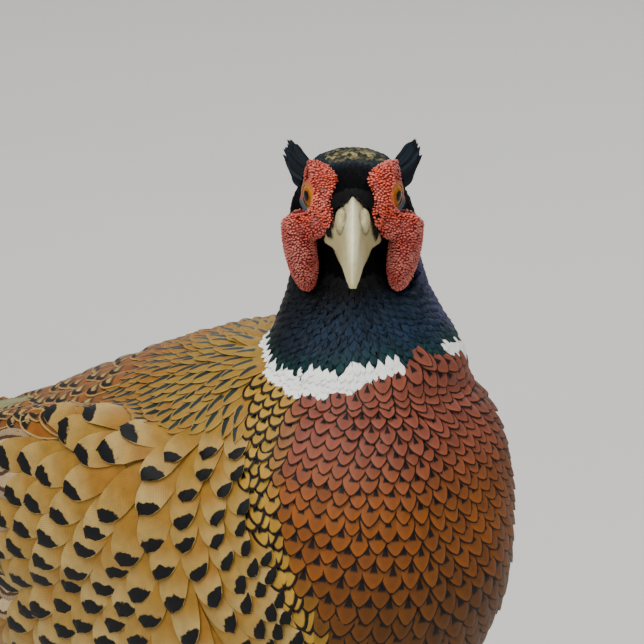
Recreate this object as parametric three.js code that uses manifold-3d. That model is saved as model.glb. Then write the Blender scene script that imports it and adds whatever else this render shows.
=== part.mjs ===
// A life-size male common pheasant standing with its head turned to its right.
// Millimetres, +Z up. The bird faces -Y, its left side is +X, and the floor is at z = 0.
import * as THREE from 'three';
import * as BufferGeometryUtils from 'three/addons/utils/BufferGeometryUtils.js';
import Module from 'manifold-3d';

const wasm = await Module();
wasm.setup();

// Every touching pair of pieces keeps this gap.
const GAP = 0.35;
// Facets of every ball-shaped body.
const BALL_SIDES = 12;
const BALL_RINGS = 8;

// Cross-sections of the trunk from breast to tail base: [y, half width, top z, bottom z].
const TRUNK = [
  [-117, 17, 230, 186],
  [-111, 31, 248, 168],
  [-99, 44, 260, 152],
  [-78, 56, 268, 140],
  [-46, 65, 271, 130],
  [-8, 68, 263, 123],
  [34, 66, 245, 123],
  [74, 57, 226, 133],
  [110, 43, 211, 149],
  [140, 28, 199, 165],
  [163, 18, 191, 176],
];
const TRUNK_SQUARENESS = 2.4;
const TRUNK_STEPS = 16;
const TRUNK_SIDES = 22;

// Level sections of the neck from its root up to the nape: [z, half width, back y, front y].
const NECK = [
  [240, 32, -38, -98],
  [254, 36, -35, -106],
  [264, 36, -36, -107],
  [272, 32, -38, -102],
  [283, 26, -42, -95],
  [293, 23.4, -44, -90],
  [305, 23.2, -43.5, -88],
  [316, 21.4, -44.5, -84],
  [324, 15, -50, -78],
];
const NECK_SQUARENESS = 2;
const NECK_STEPS = 9;
const NECK_SIDES = 16;

// The head's own frame: origin midway between the eyes, -Y along the bill, +Z to the crown.
const HEAD_AT = [-13.9, -78.9, 322];
const HEAD_TURN = THREE.MathUtils.degToRad(-45);
const HEAD_DROOP = THREE.MathUtils.degToRad(10);

// Cross-sections of the head from nape to forehead: [y, half width, top z, bottom z].
const HEAD = [
  [27, 10, 3, -13],
  [23, 15, 8, -19],
  [14, 18.6, 9.8, -22],
  [5, 17.8, 10.8, -21.5],
  [-3, 15, 10.4, -20],
  [-10, 11.6, 9, -17.5],
  [-15, 9.2, 7, -15.5],
  [-20, 6.6, 4.2, -11.5],
];
const HEAD_SQUARENESS = 2.5;
const HEAD_STEPS = 9;
const HEAD_SIDES = 16;

// The upper bill from its root to the hooked tip: [y, half width, ridge z, cutting edge z].
const UPPER_BILL = [
  [-12, 9.8, 3.2, -11.8],
  [-16, 8.9, 6.2, -11.4],
  [-20, 7, 6, -10.8],
  [-25, 5.6, 4.2, -10.4],
  [-31, 4.5, 0.6, -10.4],
  [-37, 3.4, -4.4, -11.2],
  [-41.5, 2.5, -8.8, -12.6],
  [-44.8, 1.3, -12.6, -14.4],
];
// The lower bill: [y, half width, top z, bottom z].
const LOWER_BILL = [
  [-12, 8.8, -12.3, -16.2],
  [-18, 7.6, -11.7, -17],
  [-26, 5.6, -11.1, -17.2],
  [-34, 3.4, -11.3, -16.4],
  [-40, 1.6, -12.9, -15.2],
];
const BILL_STEPS = 9;
const BILL_SIDES = 12;
// Above 1 the bill's sides flare out towards its cutting edges.
const BILL_ARCH = 1.7;
const NOSTRIL_COVER = { at: [3.9, -21.4, -0.4], size: [2, 5.2, 4] };

const EYE_RADIUS = 6.2;
const EYE_AT = [10.4, -0.6, 0];
// The red skin opens round the eye as a short cone.
const EYE_OPENING = { radius: 5.4, flare: 8.2, depth: 8 };
// A round way cut through the red skin lets the eye look ahead, over the side of the bill.
const EYE_SIGHT = { radius: 4.7, length: 30, at: [17.7, -0.6, 0], rise: 25 };

// Ellipsoids of the red face skin on the left side: centre, half sizes and tilt in degrees.
const FACE_SKIN = [
  { at: [9.6, -4.2, 2.2], size: [7.8, 11.4, 9.6], tilt: [28, 0, -16] },
  { at: [9.2, -11.4, -2.6], size: [3.3, 5.6, 7.6], tilt: [16, 8, 0] },
  { at: [14.6, -3.6, -7.4], size: [5.2, 11, 5.6], tilt: [0, 0, -16] },
  { at: [17.4, -2.6, -18], size: [5.2, 12, 17.6], tilt: [16, 8, -8] },
];

// The ear tuft of the left side: a flat bundle from its root to its tip.
const EAR_TUFT = {
  path: [[13.4, 12, 0], [16.6, 14.6, 2.8], [19.6, 17, 5.2], [22.2, 19, 7.4]],
  width: [2.8, 2.6, 2.1, 1.3],
  thickness: [5.2, 5.8, 5.8, 4.2],
};
const TUFT_STEPS = 6;
const TUFT_SIDES = 10;

// Cross-sections of the folded left wing: [y, inner x, outer x, top z, bottom z].
const WING = [
  [-44, 40, 66, 226, 200],
  [-34, 40, 70.5, 238, 188],
  [-8, 40, 74.5, 245, 177],
  [34, 40, 73.5, 237, 169],
  [76, 32, 65.5, 222, 167],
  [112, 26, 54, 208, 170],
  [140, 22, 42, 201, 177],
  [156, 20, 33, 197, 184],
];
const WING_SQUARENESS = 2.2;
const WING_STEPS = 12;
const WING_SIDES = 14;
// The flight feathers that reach past the folded wing.
const PRIMARIES = {
  path: [[36, 118, 183], [33.5, 140, 181.5], [30.5, 165, 180.5], [27.5, 188, 180]],
  width: [8, 8, 6, 1.6],
  thickness: [2.4, 1.8, 1.2, 0.6],
};

// Tail feathers, from the long middle pair down to the shortest outer pair.
const TAIL_LENGTHS = [455, 396, 330, 270, 218, 178, 147, 124, 107];
const TAIL_ROOT = { y: 163.9, z: 190.4 };
const TAIL_SLOPE = THREE.MathUtils.degToRad(3.2);
const TAIL_BEND = 26;
const TAIL_ARCH = 0.011;
const TAIL_LAYER = 0.86;
const TAIL_THICKNESS = 0.5;
const TAIL_HALF_WIDTH = 17;
const TAIL_CENTRE = 3;
// Sideways run of each next pair for a millimetre of length.
const TAIL_SPREAD = 0.0129;
// A blade is this share of its full width at its root, and blunts to its tip by this power.
const TAIL_WAIST = 0.55;
const TAIL_BLUNTNESS = 0.62;
const TAIL_TIP = 0.03;
const TAIL_FULL_FROM = 0.25;
const TAIL_SHOULDER = 1.18;
const TAIL_STEPS = 6;
const TAIL_SIDES = 4;
const TAIL_SQUARENESS = 9;

// The left leg. Its toes are set round the ball of the foot.
const LEG_X = 33;
const FOOT_Y = 10;
const THIGH = {
  path: [[40, -14, 172], [41, 0, 148], [38, 17, 118], [35.6, 28, 97], [34.4, 33, 82]],
  radius: [36, 34, 21, 12.5, 7.4],
};
const THIGH_FLATNESS = 0.62;
const HOCK = [LEG_X + 1, 34, 80];
const SHANK_RADII = [5.4, 4, 3.7, 4.4];
const SHANK_HEIGHTS = [86, 56, 30, 9];
// The shank ends in the ball of the foot.
const BALL = { radius: 4.6, height: 4.5, ahead: 2 };
// Each toe: direction in degrees from straight ahead, outwards positive, length and girth.
const TOES = [
  { name: 'inner', turn: -30, length: 36, root: 3.9, tip: 2.5 },
  { name: 'middle', turn: 2, length: 50, root: 4.2, tip: 2.6 },
  { name: 'outer', turn: 34, length: 39, root: 3.9, tip: 2.5 },
  { name: 'hind', turn: 166, length: 19, root: 3, tip: 2 },
];
// Shares of a toe's length where its path and girth are given.
const TOE_STATIONS = [0, 0.35, 0.7, 1];
// The toes are pressed this far into the floor and cut flat there.
const TOE_SINK = 0.6;
const TOE_ROOT_HEIGHT = 4.6;
// A claw arches up and then curves down to the floor.
const CLAW = { length: 9.5, root: 1.9, tip: 0.35, slimness: 0.8, arch: 1.1, archShare: 0.6 };
const CLAW_STATIONS = [0, 0.4, 0.75, 1];
const CLAW_DROP = 0.5;
const SPUR = {
  height: 30,
  length: 13,
  standOff: 3,
  girths: [3, 1.9, 0.5],
  inward: [0, 1, 3],
  rise: [0, 0.8, 4],
};

const COLOURS = {
  copper: 0x8f4a1c,
  bronze: 0xb98a3c,
  violetBlack: 0x17202e,
  wattle: 0xb0382a,
  horn: 0xd8d2b2,
  amber: 0xc47a18,
  wing: 0x9a7648,
  tail: 0x93713f,
  legSkin: 0x80786c,
  claw: 0x3a332c,
};

// Gives the values of a table of sections at t, which runs from 0 at its first row to 1.
function sampler(table) {
  const near = table.map((row) => new THREE.Vector3(row[0], row[1], row[2]));
  const far = table.map((row) => new THREE.Vector3(row[0], row[3] ?? 0, row[4] ?? 0));
  const nearCurve = new THREE.CatmullRomCurve3(near, false, 'catmullrom', 0.5);
  const farCurve = new THREE.CatmullRomCurve3(far, false, 'catmullrom', 0.5);
  return (t) => {
    const a = nearCurve.getPoint(t);
    const b = farCurve.getPoint(t);
    return [a.x, a.y, a.z, b.y, b.z];
  };
}

// One ring of a rounded outline between two widths and two heights.
function ring(sides, squareness, centre, halfWidth, middle, upper, lower, place) {
  const points = [];
  for (let i = 0; i < sides; i += 1) {
    const angle = (2 * Math.PI * (i + 0.5)) / sides;
    const c = Math.cos(angle);
    const s = Math.sin(angle);
    const power = 2 / squareness;
    const across = centre + halfWidth * Math.sign(c) * Math.abs(c) ** power;
    const reach = s > 0 ? upper - middle : middle - lower;
    points.push(place(across, middle + reach * Math.sign(s) * Math.abs(s) ** power));
  }
  return points;
}

// Joins rings of equal size into one closed body whose faces point outwards.
function loft(rings) {
  const sides = rings[0].length;
  const ends = [rings[0], rings[rings.length - 1]];
  const middles = ends.map((end) => {
    const sum = end.reduce((total, p) => total.add(p), new THREE.Vector3());
    return sum.divideScalar(sides);
  });
  const points = [...rings.flat(), ...middles];
  const index = [];
  for (let r = 0; r + 1 < rings.length; r += 1) {
    for (let i = 0; i < sides; i += 1) {
      const j = (i + 1) % sides;
      const a = r * sides;
      const b = a + sides;
      index.push(a + i, a + j, b + j, a + i, b + j, b + i);
    }
  }
  const last = (rings.length - 1) * sides;
  for (let i = 0; i < sides; i += 1) {
    const j = (i + 1) % sides;
    index.push(points.length - 2, j, i);
    index.push(points.length - 1, last + i, last + j);
  }
  const geometry = new THREE.BufferGeometry().setFromPoints(points);
  geometry.setIndex(index);
  return facingOut(geometry);
}

function signedVolume(geometry) {
  const at = geometry.attributes.position;
  const index = geometry.index.array;
  const [a, b, c] = [new THREE.Vector3(), new THREE.Vector3(), new THREE.Vector3()];
  let volume = 0;
  for (let i = 0; i < index.length; i += 3) {
    a.fromBufferAttribute(at, index[i]);
    b.fromBufferAttribute(at, index[i + 1]);
    c.fromBufferAttribute(at, index[i + 2]);
    volume += a.dot(b.cross(c)) / 6;
  }
  return volume;
}

function facingOut(geometry) {
  if (signedVolume(geometry) < 0) {
    geometry.index.array.reverse();
  }
  return geometry;
}

// A closed body through a table of sections, grown by a margin all round.
function sectionBody(table, steps, sides, squareness, grow, shape) {
  const sample = sampler(table);
  const rings = [];
  const forward = Math.sign(table[table.length - 1][0] - table[0][0]);
  for (let k = 0; k <= steps; k += 1) {
    const values = sample(k / steps);
    const end = k === 0 ? -1 : Number(k === steps);
    values[0] += end * forward * grow;
    rings.push(shape(values, sides, squareness, grow));
  }
  return loft(rings);
}

// Sections that stand upright across the body's length.
function uprightRing([y, halfWidth, top, bottom], sides, squareness, grow) {
  const middle = (top + bottom) / 2;
  const place = (x, z) => new THREE.Vector3(x, y, z);
  return ring(sides, squareness, 0, halfWidth + grow, middle, top + grow, bottom - grow, place);
}

function levelRing([z, halfWidth, back, front], sides, squareness, grow) {
  const middle = (back + front) / 2;
  const place = (x, y) => new THREE.Vector3(x, y, z);
  return ring(sides, squareness, 0, halfWidth + grow, middle, back + grow, front - grow, place);
}

function wingRing([y, inner, outer, top, bottom], sides, squareness, grow) {
  const middle = (top + bottom) / 2;
  const half = (outer - inner) / 2 + grow;
  const centre = (outer + inner) / 2;
  const place = (x, z) => new THREE.Vector3(x, y, z);
  return ring(sides, squareness, centre, half, middle, top + grow, bottom - grow, place);
}

// The bill's ring is a pointed arch over a flat edge.
function upperBillRing([y, halfWidth, ridge, edge], sides, squareness, grow) {
  const points = [];
  for (let i = 0; i < sides; i += 1) {
    const turn = (2 * i) / sides;
    const over = turn <= 1;
    const across = over ? Math.cos(Math.PI * turn) : -Math.cos(Math.PI * (turn - 1));
    const arch = over ? Math.sin(Math.PI * turn) ** squareness : 0;
    const z = edge - (over ? 0 : grow) + (ridge + grow - edge) * arch;
    points.push(new THREE.Vector3(across * (halfWidth + grow), y, z));
  }
  return points.filter((p, i) => i === 0 || p.distanceTo(points[i - 1]) > 1e-3);
}

// A tube of changing width along a curve, flattened where its thickness is less.
function limb({ path, width, thickness }, steps, sides, grow = 0, floor = null) {
  const curve = new THREE.CatmullRomCurve3(path.map((p) => new THREE.Vector3(...p)));
  const sizes = sampler(width.map((w, i) => [i, w, thickness[i]]));
  const side = new THREE.Vector3();
  const rings = [];
  for (let k = 0; k <= steps; k += 1) {
    const t = k / steps;
    const [, w, h] = sizes(t);
    const end = k === 0 ? -1 : Number(k === steps);
    const along = curve.getTangent(t);
    const centre = curve.getPoint(t).addScaledVector(along, end * grow);
    side.crossVectors(along, limb.up).normalize();
    const over = new THREE.Vector3().crossVectors(side, along);
    const place = (across, height) => {
      const point = centre.clone().addScaledVector(side, across).addScaledVector(over, height);
      point.z = floor === null ? point.z : Math.max(point.z, floor);
      return point;
    };
    rings.push(ring(sides, 2, 0, w + grow, 0, h + grow, -h - grow, place));
  }
  return loft(rings);
}
limb.up = new THREE.Vector3(0, 0, 1);

function ellipsoid({ at, size, tilt = [0, 0, 0] }, grow = 0) {
  const geometry = new THREE.SphereGeometry(1, BALL_SIDES, BALL_RINGS);
  geometry.scale(size[0] + grow, size[1] + grow, size[2] + grow);
  const [x, y, z] = tilt.map((angle) => THREE.MathUtils.degToRad(angle));
  geometry.applyMatrix4(new THREE.Matrix4().makeRotationFromEuler(new THREE.Euler(x, y, z)));
  return geometry.translate(...at);
}

function toSolid(geometry) {
  const bare = geometry.clone();
  bare.deleteAttribute('normal');
  bare.deleteAttribute('uv');
  const merged = BufferGeometryUtils.mergeVertices(bare, 1e-4);
  return new wasm.Manifold(new wasm.Mesh({
    numProp: 3,
    vertProperties: new Float32Array(merged.attributes.position.array),
    triVerts: new Uint32Array(merged.index.array),
  }));
}

function toGeometry(solid) {
  const mesh = solid.getMesh();
  const geometry = new THREE.BufferGeometry();
  geometry.setAttribute('position', new THREE.BufferAttribute(mesh.vertProperties, 3));
  geometry.setIndex(new THREE.BufferAttribute(mesh.triVerts, 1));
  return geometry;
}

function union(geometries) {
  return toGeometry(geometries.map(toSolid).reduce((sum, next) => sum.add(next)));
}

// What is left of a body beside its neighbours, without the crumbs that a cut can leave.
function cut(geometry, cutters) {
  const start = toSolid(geometry);
  const rest = cutters.map(toSolid).reduce((left, next) => left.subtract(next), start);
  const [largest] = rest.decompose().sort((a, b) => b.volume() - a.volume());
  return toGeometry(largest);
}

function mirrored(geometry) {
  const copy = geometry.clone().scale(-1, 1, 1);
  copy.index.array.reverse();
  return copy;
}

const SIDES = [['left', (geometry) => geometry], ['right', mirrored]];

function finish(colour, roughness = 0.7, metalness = 0) {
  return new THREE.MeshStandardMaterial({ color: colour, roughness, metalness });
}

function addPiece(group, name, geometry, material) {
  const mesh = new THREE.Mesh(geometry, material);
  mesh.name = name;
  group.add(mesh);
  return mesh;
}

const trunkBody = (grow = 0) => sectionBody(
  TRUNK, TRUNK_STEPS, TRUNK_SIDES, TRUNK_SQUARENESS, grow, uprightRing,
);
const neckBody = (grow = 0) => sectionBody(
  NECK, NECK_STEPS, NECK_SIDES, NECK_SQUARENESS, grow, levelRing,
);
const headBody = (grow = 0) => sectionBody(
  HEAD, HEAD_STEPS, HEAD_SIDES, HEAD_SQUARENESS, grow, uprightRing,
);
const wingBody = (grow = 0) => sectionBody(
  WING, WING_STEPS, WING_SIDES, WING_SQUARENESS, grow, wingRing,
);

function upperBill(grow = 0) {
  const shell = sectionBody(UPPER_BILL, BILL_STEPS, BILL_SIDES, BILL_ARCH, grow, upperBillRing);
  const cover = ellipsoid(NOSTRIL_COVER, grow);
  return union([shell, cover, mirrored(cover)]);
}

function lowerBill(grow = 0) {
  return sectionBody(LOWER_BILL, BILL_STEPS, BILL_SIDES, 2, grow, uprightRing);
}

function eyeOpening() {
  const { radius, flare, depth } = EYE_OPENING;
  const cone = new THREE.CylinderGeometry(flare, radius, depth, BALL_SIDES);
  cone.rotateZ(-Math.PI / 2);
  return cone.translate(EYE_AT[0] + EYE_RADIUS / 2 + depth / 2, EYE_AT[1], EYE_AT[2]);
}

function eyeSight() {
  const { radius, length, at, rise } = EYE_SIGHT;
  const way = new THREE.CylinderGeometry(radius, radius, length, BALL_SIDES);
  way.translate(0, length / 2, 0);
  way.rotateX(Math.PI / 2 - THREE.MathUtils.degToRad(rise));
  way.rotateZ(Math.PI);
  return way.translate(...at);
}

function faceSkin(grow = 0) {
  return union(FACE_SKIN.map((lobe) => ellipsoid(lobe, grow)));
}

function buildHead(head) {
  const eye = (grow) => ellipsoid({ at: EYE_AT, size: [EYE_RADIUS, EYE_RADIUS, EYE_RADIUS] }, grow);
  const skull = cut(headBody(), [
    upperBill(GAP), lowerBill(GAP), eye(GAP), mirrored(eye(GAP)),
  ]);
  addPiece(head, 'head', skull, finish(COLOURS.violetBlack, 0.5));
  addPiece(head, 'bill_upper', upperBill(), finish(COLOURS.horn, 0.4));
  addPiece(head, 'bill_lower', cut(lowerBill(), [upperBill(GAP)]), finish(COLOURS.horn, 0.4));
  const skin = cut(faceSkin(), [
    headBody(GAP), upperBill(GAP), lowerBill(GAP), eye(GAP), eyeOpening(), eyeSight(),
  ]);
  const tuft = cut(limb(EAR_TUFT, TUFT_STEPS, TUFT_SIDES), [headBody(GAP), faceSkin(GAP)]);
  for (const [name, side] of SIDES) {
    addPiece(head, `eye_${name}`, side(eye(0)), finish(COLOURS.amber, 0.1));
    addPiece(head, `wattle_${name}`, side(skin), finish(COLOURS.wattle, 0.6));
    addPiece(head, `ear_tuft_${name}`, side(tuft), finish(COLOURS.violetBlack, 0.6));
  }
}

// All that the neck must keep clear of, moved from the head's frame to the bird's.
function headCutters(head) {
  head.updateMatrixWorld(true);
  const tuft = limb(EAR_TUFT, TUFT_STEPS, TUFT_SIDES, GAP);
  const pieces = [headBody(GAP), faceSkin(GAP), mirrored(faceSkin(GAP)), tuft, mirrored(tuft)];
  return pieces.map((piece) => piece.clone().applyMatrix4(head.matrixWorld));
}

function buildWings(bird) {
  const wing = cut(wingBody(), [trunkBody(GAP)]);
  const primaries = cut(limb(PRIMARIES, 5, 10), [wingBody(GAP), trunkBody(GAP)]);
  for (const [name, side] of SIDES) {
    addPiece(bird, `wing_${name}`, side(wing), finish(COLOURS.wing));
    addPiece(bird, `primaries_${name}`, side(primaries), finish(COLOURS.wing));
  }
}

// One tail feather: a thin pointed blade, lower the further it lies from the middle.
function tailFeather(length, pair, sideSign, layer) {
  const rings = [];
  for (let k = 0; k <= TAIL_STEPS; k += 1) {
    const t = k / TAIL_STEPS;
    const run = length * t;
    const swell = Math.sin(Math.PI * Math.min(1, TAIL_FULL_FROM + t));
    const half = TAIL_HALF_WIDTH * (TAIL_WAIST + (1 - TAIL_WAIST) * swell);
    const taper = Math.min(1, TAIL_SHOULDER * (1 - t) ** TAIL_BLUNTNESS) + TAIL_TIP;
    const centre = sideSign * (TAIL_CENTRE + TAIL_SPREAD * pair * run);
    const y = TAIL_ROOT.y + run;
    const drop = run * Math.tan(TAIL_SLOPE) + TAIL_BEND * (run / TAIL_LENGTHS[0]) ** 2;
    const z = TAIL_ROOT.z - drop - layer * TAIL_LAYER - TAIL_ARCH * centre * centre;
    const place = (x, h) => new THREE.Vector3(x, y, z + h);
    const thin = TAIL_THICKNESS / 2;
    rings.push(ring(
      TAIL_SIDES, TAIL_SQUARENESS, centre, half * taper, 0, thin, -thin, place,
    ));
  }
  return loft(rings);
}

function buildTail(bird) {
  TAIL_LENGTHS.forEach((length, pair) => {
    SIDES.forEach(([name], place) => {
      const blade = tailFeather(length, pair, place === 0 ? 1 : -1, 2 * pair + place);
      addPiece(bird, `tail_${name}_${pair + 1}`, blade, finish(COLOURS.tail));
    });
  });
}

// The middle line of a toe from the ball of the foot, with a floor clearance at each step.
function toePath({ turn, length, root, tip }) {
  const angle = THREE.MathUtils.degToRad(turn);
  const ahead = [Math.sin(angle), -Math.cos(angle)];
  return TOE_STATIONS.map((t) => {
    const girth = root + (tip - root) * t;
    const z = t === 0 ? TOE_ROOT_HEIGHT : girth - TOE_SINK;
    return [LEG_X + ahead[0] * length * t, FOOT_Y + ahead[1] * length * t, z];
  });
}

function toe(plan) {
  const girths = TOE_STATIONS.map((t) => plan.root + (plan.tip - plan.root) * t);
  return limb({ path: toePath(plan), width: girths, thickness: girths }, 4, 8, 0, 0);
}

function claw(plan) {
  const path = toePath(plan);
  const end = path[3];
  const angle = THREE.MathUtils.degToRad(plan.turn);
  const points = CLAW_STATIONS.map((t) => {
    const run = GAP + CLAW.length * t;
    const rise = CLAW.arch * Math.sin(Math.PI * CLAW.archShare * t);
    const z = end[2] + rise - (end[2] - CLAW_DROP) * t * t;
    return [end[0] + Math.sin(angle) * run, end[1] - Math.cos(angle) * run, Math.max(z, CLAW.tip)];
  });
  const girths = CLAW_STATIONS.map((t) => CLAW.root + (CLAW.tip - CLAW.root) * t);
  const widths = girths.map((g) => g * CLAW.slimness);
  return limb({ path: points, width: widths, thickness: girths }, 3, 6, 0, 0);
}

function shankPoint(height) {
  const t = (HOCK[2] - height) / (HOCK[2] - SHANK_HEIGHTS[3]);
  return [HOCK[0] + (LEG_X - HOCK[0]) * t, HOCK[1] + (FOOT_Y - HOCK[1]) * t, height];
}

function shank(grow = 0) {
  const path = SHANK_HEIGHTS.map(shankPoint);
  path.push([LEG_X, FOOT_Y - BALL.ahead, BALL.height]);
  const radii = [...SHANK_RADII, BALL.radius];
  return limb({ path, width: radii, thickness: radii }, 6, 8, grow, 0);
}

function spur() {
  const [x, y, z] = shankPoint(SPUR.height);
  const start = y + SPUR.standOff + GAP;
  const path = SPUR.girths.map((girth, i) => [
    x - SPUR.inward[i], start + (SPUR.length * i) / (SPUR.girths.length - 1), z + SPUR.rise[i],
  ]);
  return cut(limb({ path, width: SPUR.girths, thickness: SPUR.girths }, 4, 8), [shank(GAP)]);
}

function buildLegs(bird) {
  const { path, radius } = THIGH;
  const thighPlan = { path, width: radius.map((r) => r * THIGH_FLATNESS), thickness: radius };
  const thigh = cut(limb(thighPlan, 6, 12), [trunkBody(GAP), wingBody(GAP), shank(GAP)]);
  const foot = union([shank(), ...TOES.map(toe)]);
  for (const [name, side] of SIDES) {
    addPiece(bird, `thigh_${name}`, side(thigh), finish(COLOURS.copper));
    addPiece(bird, `foot_${name}`, side(foot), finish(COLOURS.legSkin, 0.6));
    addPiece(bird, `spur_${name}`, side(spur()), finish(COLOURS.claw, 0.4));
    for (const plan of TOES) {
      addPiece(bird, `claw_${plan.name}_${name}`, side(claw(plan)), finish(COLOURS.claw, 0.4));
    }
  }
}

function buildPheasant() {
  const bird = new THREE.Group();
  const head = new THREE.Group();
  head.position.set(...HEAD_AT);
  head.rotation.set(HEAD_DROOP, 0, HEAD_TURN, 'ZYX');
  bird.add(head);
  buildHead(head);
  addPiece(bird, 'trunk', trunkBody(), finish(COLOURS.copper));
  const neck = cut(neckBody(), [trunkBody(GAP), ...headCutters(head)]);
  addPiece(bird, 'neck', neck, finish(COLOURS.violetBlack, 0.5));
  buildWings(bird);
  buildTail(bird);
  buildLegs(bird);
  return bird;
}

// The finished bird stands with its origin on the floor under the middle of its box.
function centred(bird) {
  const box = new THREE.Box3().setFromObject(bird, true);
  const middle = box.getCenter(new THREE.Vector3());
  bird.position.set(-middle.x, -middle.y, -box.min.z);
  return bird;
}

export default centred(buildPheasant());
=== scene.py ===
import heapq
import math
from collections import namedtuple

import bpy
import numpy as np
from mathutils import Matrix, Vector
from mathutils.bvhtree import BVHTree


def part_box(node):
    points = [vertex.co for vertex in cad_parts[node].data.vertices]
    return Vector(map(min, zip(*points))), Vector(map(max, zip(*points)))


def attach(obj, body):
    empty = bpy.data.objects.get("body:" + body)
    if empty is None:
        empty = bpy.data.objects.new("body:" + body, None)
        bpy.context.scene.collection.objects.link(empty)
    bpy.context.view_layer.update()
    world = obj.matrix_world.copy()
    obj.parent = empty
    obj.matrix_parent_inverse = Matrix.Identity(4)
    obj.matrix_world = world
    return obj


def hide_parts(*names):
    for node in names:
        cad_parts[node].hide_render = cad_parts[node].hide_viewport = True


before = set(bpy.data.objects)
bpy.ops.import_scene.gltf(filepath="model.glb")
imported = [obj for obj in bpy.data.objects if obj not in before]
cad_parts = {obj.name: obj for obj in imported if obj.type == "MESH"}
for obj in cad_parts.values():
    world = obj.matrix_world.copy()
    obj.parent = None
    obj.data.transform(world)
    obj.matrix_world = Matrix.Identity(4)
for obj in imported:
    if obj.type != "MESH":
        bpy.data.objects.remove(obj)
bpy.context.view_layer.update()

# The bird's own frame is in millimetres, with its breast at this y. Meshes are made in metres.
BREAST_Y = -117.0
MM = 0.001
SHIFT = np.array([0.0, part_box("trunk")[0].y / MM - BREAST_Y, 0.0])
SEED = 7
SIDES = (("left", 1), ("right", -1))

# The head's frame: origin between the eyes, -Y along the bill.
HEAD_AT = np.array([-13.9, -78.9, 322.0])
HEAD_TURN = math.radians(-45)
HEAD_DROOP = math.radians(10)
HEAD_AXES = np.array(Matrix.Rotation(HEAD_TURN, 3, "Z") @ Matrix.Rotation(HEAD_DROOP, 3, "X"))
EYE_AT = np.array([10.3, -0.6, 0.0])
EYE_RADIUS = 6.2

# The camera sees the head from straight ahead and a little above.
CAMERA_AZIMUTH = -45
CAMERA_ELEVATION = 15
CAMERA_DISTANCE = 3.2
PICTURE_SIZE = 644
MM_PER_PIXEL = 0.33
EYES_PIXEL = (352.5, 193.0)
SENSOR = 36.0


def rgb(text):
    """Linear colour of a six-digit screen colour."""
    values = [int(text[i:i + 2], 16) / 255 for i in (0, 2, 4)]
    return np.array([v / 12.92 if v <= 0.04045 else ((v + 0.055) / 1.055) ** 2.4 for v in values])


def ramp(x, low, high):
    """Smooth step from 0 at low to 1 at high."""
    t = np.clip((x - low) / (high - low), 0, 1)
    return t * t * (3 - 2 * t)


def blend(a, b, share):
    """Mix of two colours, or of a colour for each point, by one share or a share for each point."""
    return a + (b - a) * np.asarray(share)[..., None]


def varied(rng, shape, spread):
    """Random factors about 1, within a range as wide as the spread."""
    return 1 + spread * (rng.random(shape) - 0.5)


def unit(v):
    return v / np.maximum(np.linalg.norm(v, axis=-1, keepdims=True), 1e-9)


def from_head(points):
    """Points of the head's frame in the bird's frame."""
    return np.asarray(points) @ HEAD_AXES.T + HEAD_AT


def to_head(points):
    return (np.asarray(points) - HEAD_AT) @ HEAD_AXES


def to_world(points):
    return (np.asarray(points) + SHIFT) * MM


def mesh_arrays(mesh):
    """Vertices in the bird's frame and triangles of a mesh."""
    mesh.calc_loop_triangles()
    points = np.empty(len(mesh.vertices) * 3)
    mesh.vertices.foreach_get("co", points)
    faces = np.empty(len(mesh.loop_triangles) * 3, dtype=np.int32)
    mesh.loop_triangles.foreach_get("vertices", faces)
    return points.reshape(-1, 3) / MM - SHIFT, faces.reshape(-1, 3)


def node_arrays(name):
    return mesh_arrays(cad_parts[name].data)


def mesh_object(name, points, faces):
    """A new smooth object from points of the bird's frame and faces of one size."""
    mesh = bpy.data.meshes.new(name)
    points = to_world(points).astype(np.float32)
    faces = np.asarray(faces, dtype=np.int32)
    mesh.vertices.add(len(points))
    mesh.vertices.foreach_set("co", points.ravel())
    mesh.loops.add(faces.size)
    mesh.loops.foreach_set("vertex_index", faces.ravel())
    mesh.polygons.add(len(faces))
    mesh.polygons.foreach_set("loop_start", np.arange(0, faces.size, faces.shape[1], dtype=np.int32))
    mesh.polygons.foreach_set("use_smooth", np.full(len(faces), True))
    mesh.update(calc_edges=True)
    piece = bpy.data.objects.new(name, mesh)
    bpy.context.scene.collection.objects.link(piece)
    return piece


def add_piece(name, points, faces, material, replaces=()):
    piece = mesh_object(name, points, faces)
    piece.data.materials.append(material)
    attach(piece, "root")
    if len(replaces):
        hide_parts(*replaces)
    return piece


def add_attribute(piece, name, values):
    """A number or a colour for each vertex, or one colour for them all."""
    count = len(piece.data.vertices)
    if len(values) != count:
        values = np.tile(values, (count, 1))
    if values.ndim == 1:
        layer = piece.data.attributes.new(name, "FLOAT", "POINT")
        layer.data.foreach_set("value", values.astype(np.float32))
        return
    colour = np.ones((count, 4), dtype=np.float32)
    colour[:, :3] = values
    layer = piece.data.attributes.new(name, "FLOAT_COLOR", "POINT")
    layer.data.foreach_set("color", colour.ravel())


def add_uv(piece, name, coordinates):
    """A UV map from coordinates for each vertex."""
    mesh = piece.data
    index = np.empty(len(mesh.loops), dtype=np.int32)
    mesh.loops.foreach_get("vertex_index", index)
    layer = mesh.uv_layers.new(name=name)
    layer.data.foreach_set("uv", np.asarray(coordinates, dtype=np.float32)[index].ravel())


def join_arrays(parts):
    points, faces, start = [], [], 0
    for p, f in parts:
        points.append(p)
        faces.append(f + start)
        start += len(p)
    return np.concatenate(points), np.concatenate(faces)


def remeshed(nodes, voxel):
    """Points and triangles of some nodes as one surface, remeshed evenly with voxels of a size in mm."""
    piece = mesh_object("raw", *join_arrays([node_arrays(node) for node in nodes]))
    modifier = piece.modifiers.new("even", "REMESH")
    modifier.mode = "VOXEL"
    modifier.voxel_size = voxel * MM
    modifier.adaptivity = 0
    bpy.context.view_layer.update()
    arrays = mesh_arrays(piece.evaluated_get(bpy.context.evaluated_depsgraph_get()).to_mesh())
    bpy.data.objects.remove(piece)
    return arrays


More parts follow.
